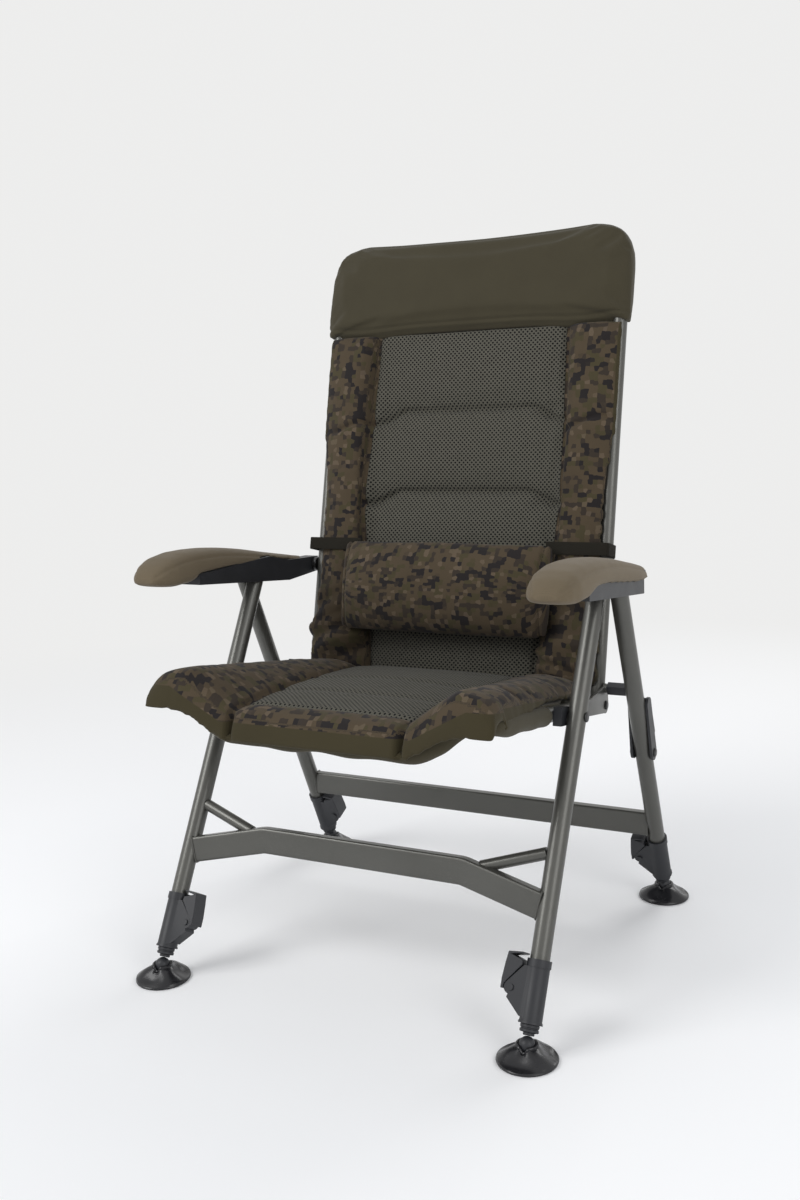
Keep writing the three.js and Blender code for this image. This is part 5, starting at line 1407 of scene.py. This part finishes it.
def strap():
    low, high = box_in("pillow_strap", back_plane)
    up = (low.z + high.z) / 2
    half_wide = (high.z - low.z) / 2
    half_thick = STRAP_THICKNESS / 2
    side = high.x - half_thick
    half = [
        Vector((STRAP_END_SIDE, low.y + half_thick, up)),
        Vector((side, low.y + half_thick, up)),
        Vector((side, RAIL_RADIUS / 2, up)),
        Vector((side - RAIL_RADIUS, high.y - half_thick, up)),
    ]
    shape = swept(
        [back_plane @ spot for spot in rounded(both_halves(half), STRAP_BEND_RADIUS)],
        half_wide,
        rounded_box(half_thick, half_wide, STRAP_EDGE_POWER),
        sides=STRAP_SIDES,
        up=back_plane.to_3x3() @ Vector((0, 0, 1)),
    )
    mesh = mesh_of("strap", shape)
    piece = show("pillow_webbing", mesh, finishes["webbing"], "pillow_strap")
    lay_cloth(piece, back_plane, lambda s, n: (s[:, 0] + s[:, 1], s[:, 2]))


def seat_sleeve():
    """The sling's sleeve, sewn round the side rails and the dipped front rail."""
    rail_side = box_in("seat_frame", seat_plane)[1].x - RAIL_RADIUS
    half = [Vector((rail_side, -SLEEVE_START, 0)), *front_rail(rail_side)]
    route = spaced(rounded(both_halves(half), SEAT_CORNER_RADIUS), SLEEVE_PITCH)

    def section(spot):
        return Vector((spot.x, spot.y * (SLEEVE_HANG_SHARE if spot.y < 0 else 1), 0))

    shape = swept(
        [seat_plane @ spot for spot in route],
        SLEEVE_RADIUS,
        section,
        sides=SLEEVE_SIDES,
        up=seat_plane.to_3x3() @ Vector((0, 0, 1)),
    )
    piece = linked("seat_sleeve", mesh_of("seat_sleeve", shape))
    carry(piece, finishes["olive"], "seat_sling")

    def depth(spots, normals):
        below = between(-normals[:, 2], 0.0, 0.8)
        return ripples(spots, (18, 22, 40), 9.6) * (0.0008 + 0.0035 * below)

    sink(piece, seat_plane, depth)
    lay_cloth(piece, seat_plane, lambda s, n: (s[:, 0] - s[:, 1], s[:, 2]))


# Slings
HEM_SIDE = 0.222
HEM_END = 0.026
HEM_WIDTH = 0.0014
HEM_DEPTH = 0.0005


def cut_across(shape, spot, direction):
    """Adds a line of edges where a plane crosses a shape."""
    geometry = [*shape.verts, *shape.edges, *shape.faces]
    bmesh.ops.bisect_plane(shape, geom=geometry, plane_co=spot, plane_no=direction)


def slings():
    """The hemmed cloth that hangs between the seat rails and between the back tubes."""
    sheets = (
        ("seat_hammock", "seat_sling", seat_plane, 1, "seat_frame_tube", (0.502, 0.408)),
        ("back_hammock", "back_sling", back_plane, 2, "back_frame_tube", (0.502, 0.563)),
    )
    for name, node, plane, along, rail, size in sheets:
        shape = copy_of(node)
        bmesh.ops.subdivide_edges(shape, edges=shape.edges, cuts=1, use_grid_fill=True)
        low, high = box_in(node, plane)
        ends = (low[along] + HEM_END, high[along] - HEM_END)
        lengthwise = Vector((0, 2 - along, along - 1))
        for step in (-HEM_WIDTH, 0, HEM_WIDTH):
            for sign in (1, -1):
                cut_across(shape, Vector((sign * (HEM_SIDE + step), 0, 0)), Vector((1, 0, 0)))
            for end in ends:
                spot = plane @ (lengthwise * (end + step))
                cut_across(shape, spot, plane.to_3x3() @ lengthwise)
        piece = show(name, mesh_of(name, shape), finishes["olive"], node)
        spots, _ = points_in(piece.data, plane)
        away = [np.abs(np.abs(spots[:, 0]) - HEM_SIDE)]
        away += [np.abs(spots[:, along] - end) for end in ends]
        hem = between(np.min(away, axis=0), HEM_WIDTH, 0)
        mark(piece, "hem", hem)
        sink(piece, plane, lambda s, n, line=hem: HEM_DEPTH * line)
        lay_cloth(piece, plane, lambda s, n, axis=along: (s[:, 0], s[:, axis]))


# Stage
FLOOR_RADIUS = 9
FLOOR_FADE_START = 0.8
FLOOR_FADE_END = 2.6
BACKDROP = (0.85, 0.85, 0.845)
PAPER = (0.95, 0.95, 0.955)
SKY = (0.95, 0.97, 1.0)
SKY_STRENGTH = 0.62
AIM = Vector((0, 0, 0.5))
LAMPS = (
    ("key", (-2.2, -2.4, 2.6), 1.8, 62),
    ("fill", (2.8, -1.6, 1.9), 1.8, 26),
    ("rim", (0.6, 2.8, 2.4), 1.6, 30),
)


def studio_world():
    """An even light that the camera sees as a pale backdrop."""
    world = bpy.data.worlds.new("studio")
    scene.world = world
    world.use_nodes = True
    tree = world.node_tree
    light = tree.nodes["Background"]
    light.inputs["Color"].default_value = (*SKY, 1)
    light.inputs["Strength"].default_value = SKY_STRENGTH
    shown = tree.nodes.new("ShaderNodeBackground")
    shown.inputs["Color"].default_value = (*BACKDROP, 1)
    path = tree.nodes.new("ShaderNodeLightPath")
    seen = Value(tree, path.outputs["Is Camera Ray"])
    for ray in ("Is Glossy Ray", "Is Transmission Ray"):
        seen = seen.most(Value(tree, path.outputs[ray]))
    mixed = tree.nodes.new("ShaderNodeMixShader")
    for place, socket in enumerate((seen.socket, light.outputs[0], shown.outputs[0])):
        tree.links.new(socket, mixed.inputs[place])
    tree.links.new(mixed.outputs[0], tree.nodes["World Output"].inputs[0])


def floor_paper():
    """A floor that glows like the backdrop further out."""
    finish = Finish("floor_paper", 0.9, Base_Color=(*PAPER, 1))
    far = finish.node("ShaderNodeVectorMath", {"operation": "LENGTH"}, {0: finish.place()})
    fade = finish.value(far, "Value").clear_of(
        (FLOOR_FADE_START + FLOOR_FADE_END) / 2, FLOOR_FADE_END - FLOOR_FADE_START
    )
    glow = finish.value(finish.node("ShaderNodeEmission", {}, {"Color": (*BACKDROP, 1)}))
    paper = finish.value(finish.shader)
    mixed = finish.node("ShaderNodeMixShader", {}, {0: fade, 1: paper, 2: glow})
    output = finish.tree.nodes["Material Output"]
    finish.tree.links.new(mixed.outputs[0], output.inputs[0])
    return finish.material


def stage():
    studio_world()
    shape = bmesh.new()
    bmesh.ops.create_circle(shape, cap_ends=True, segments=64, radius=FLOOR_RADIUS)
    floor = linked("floor", mesh_of("floor", shape))
    floor.data.materials.append(floor_paper())
    for name, spot, size, power in LAMPS:
        data = bpy.data.lights.new(name, "AREA")
        data.size = size
        data.energy = power
        turn = (AIM - Vector(spot)).to_track_quat("-Z", "Y").to_matrix()
        linked(name, data).matrix_world = Matrix.Translation(spot) @ turn.to_4x4()
    scene.view_settings.view_transform = "Standard"


aim_camera()
leg_tubes()
crossbars()
braces()
seat_tubes()
back_tubes()
bolts()
plastic_parts()
leg_ends()
back_cushion()
seat_cushion()
head_cushion()
pillow()
arm_cushions()
strap()
slings()
seat_sleeve()
stage()
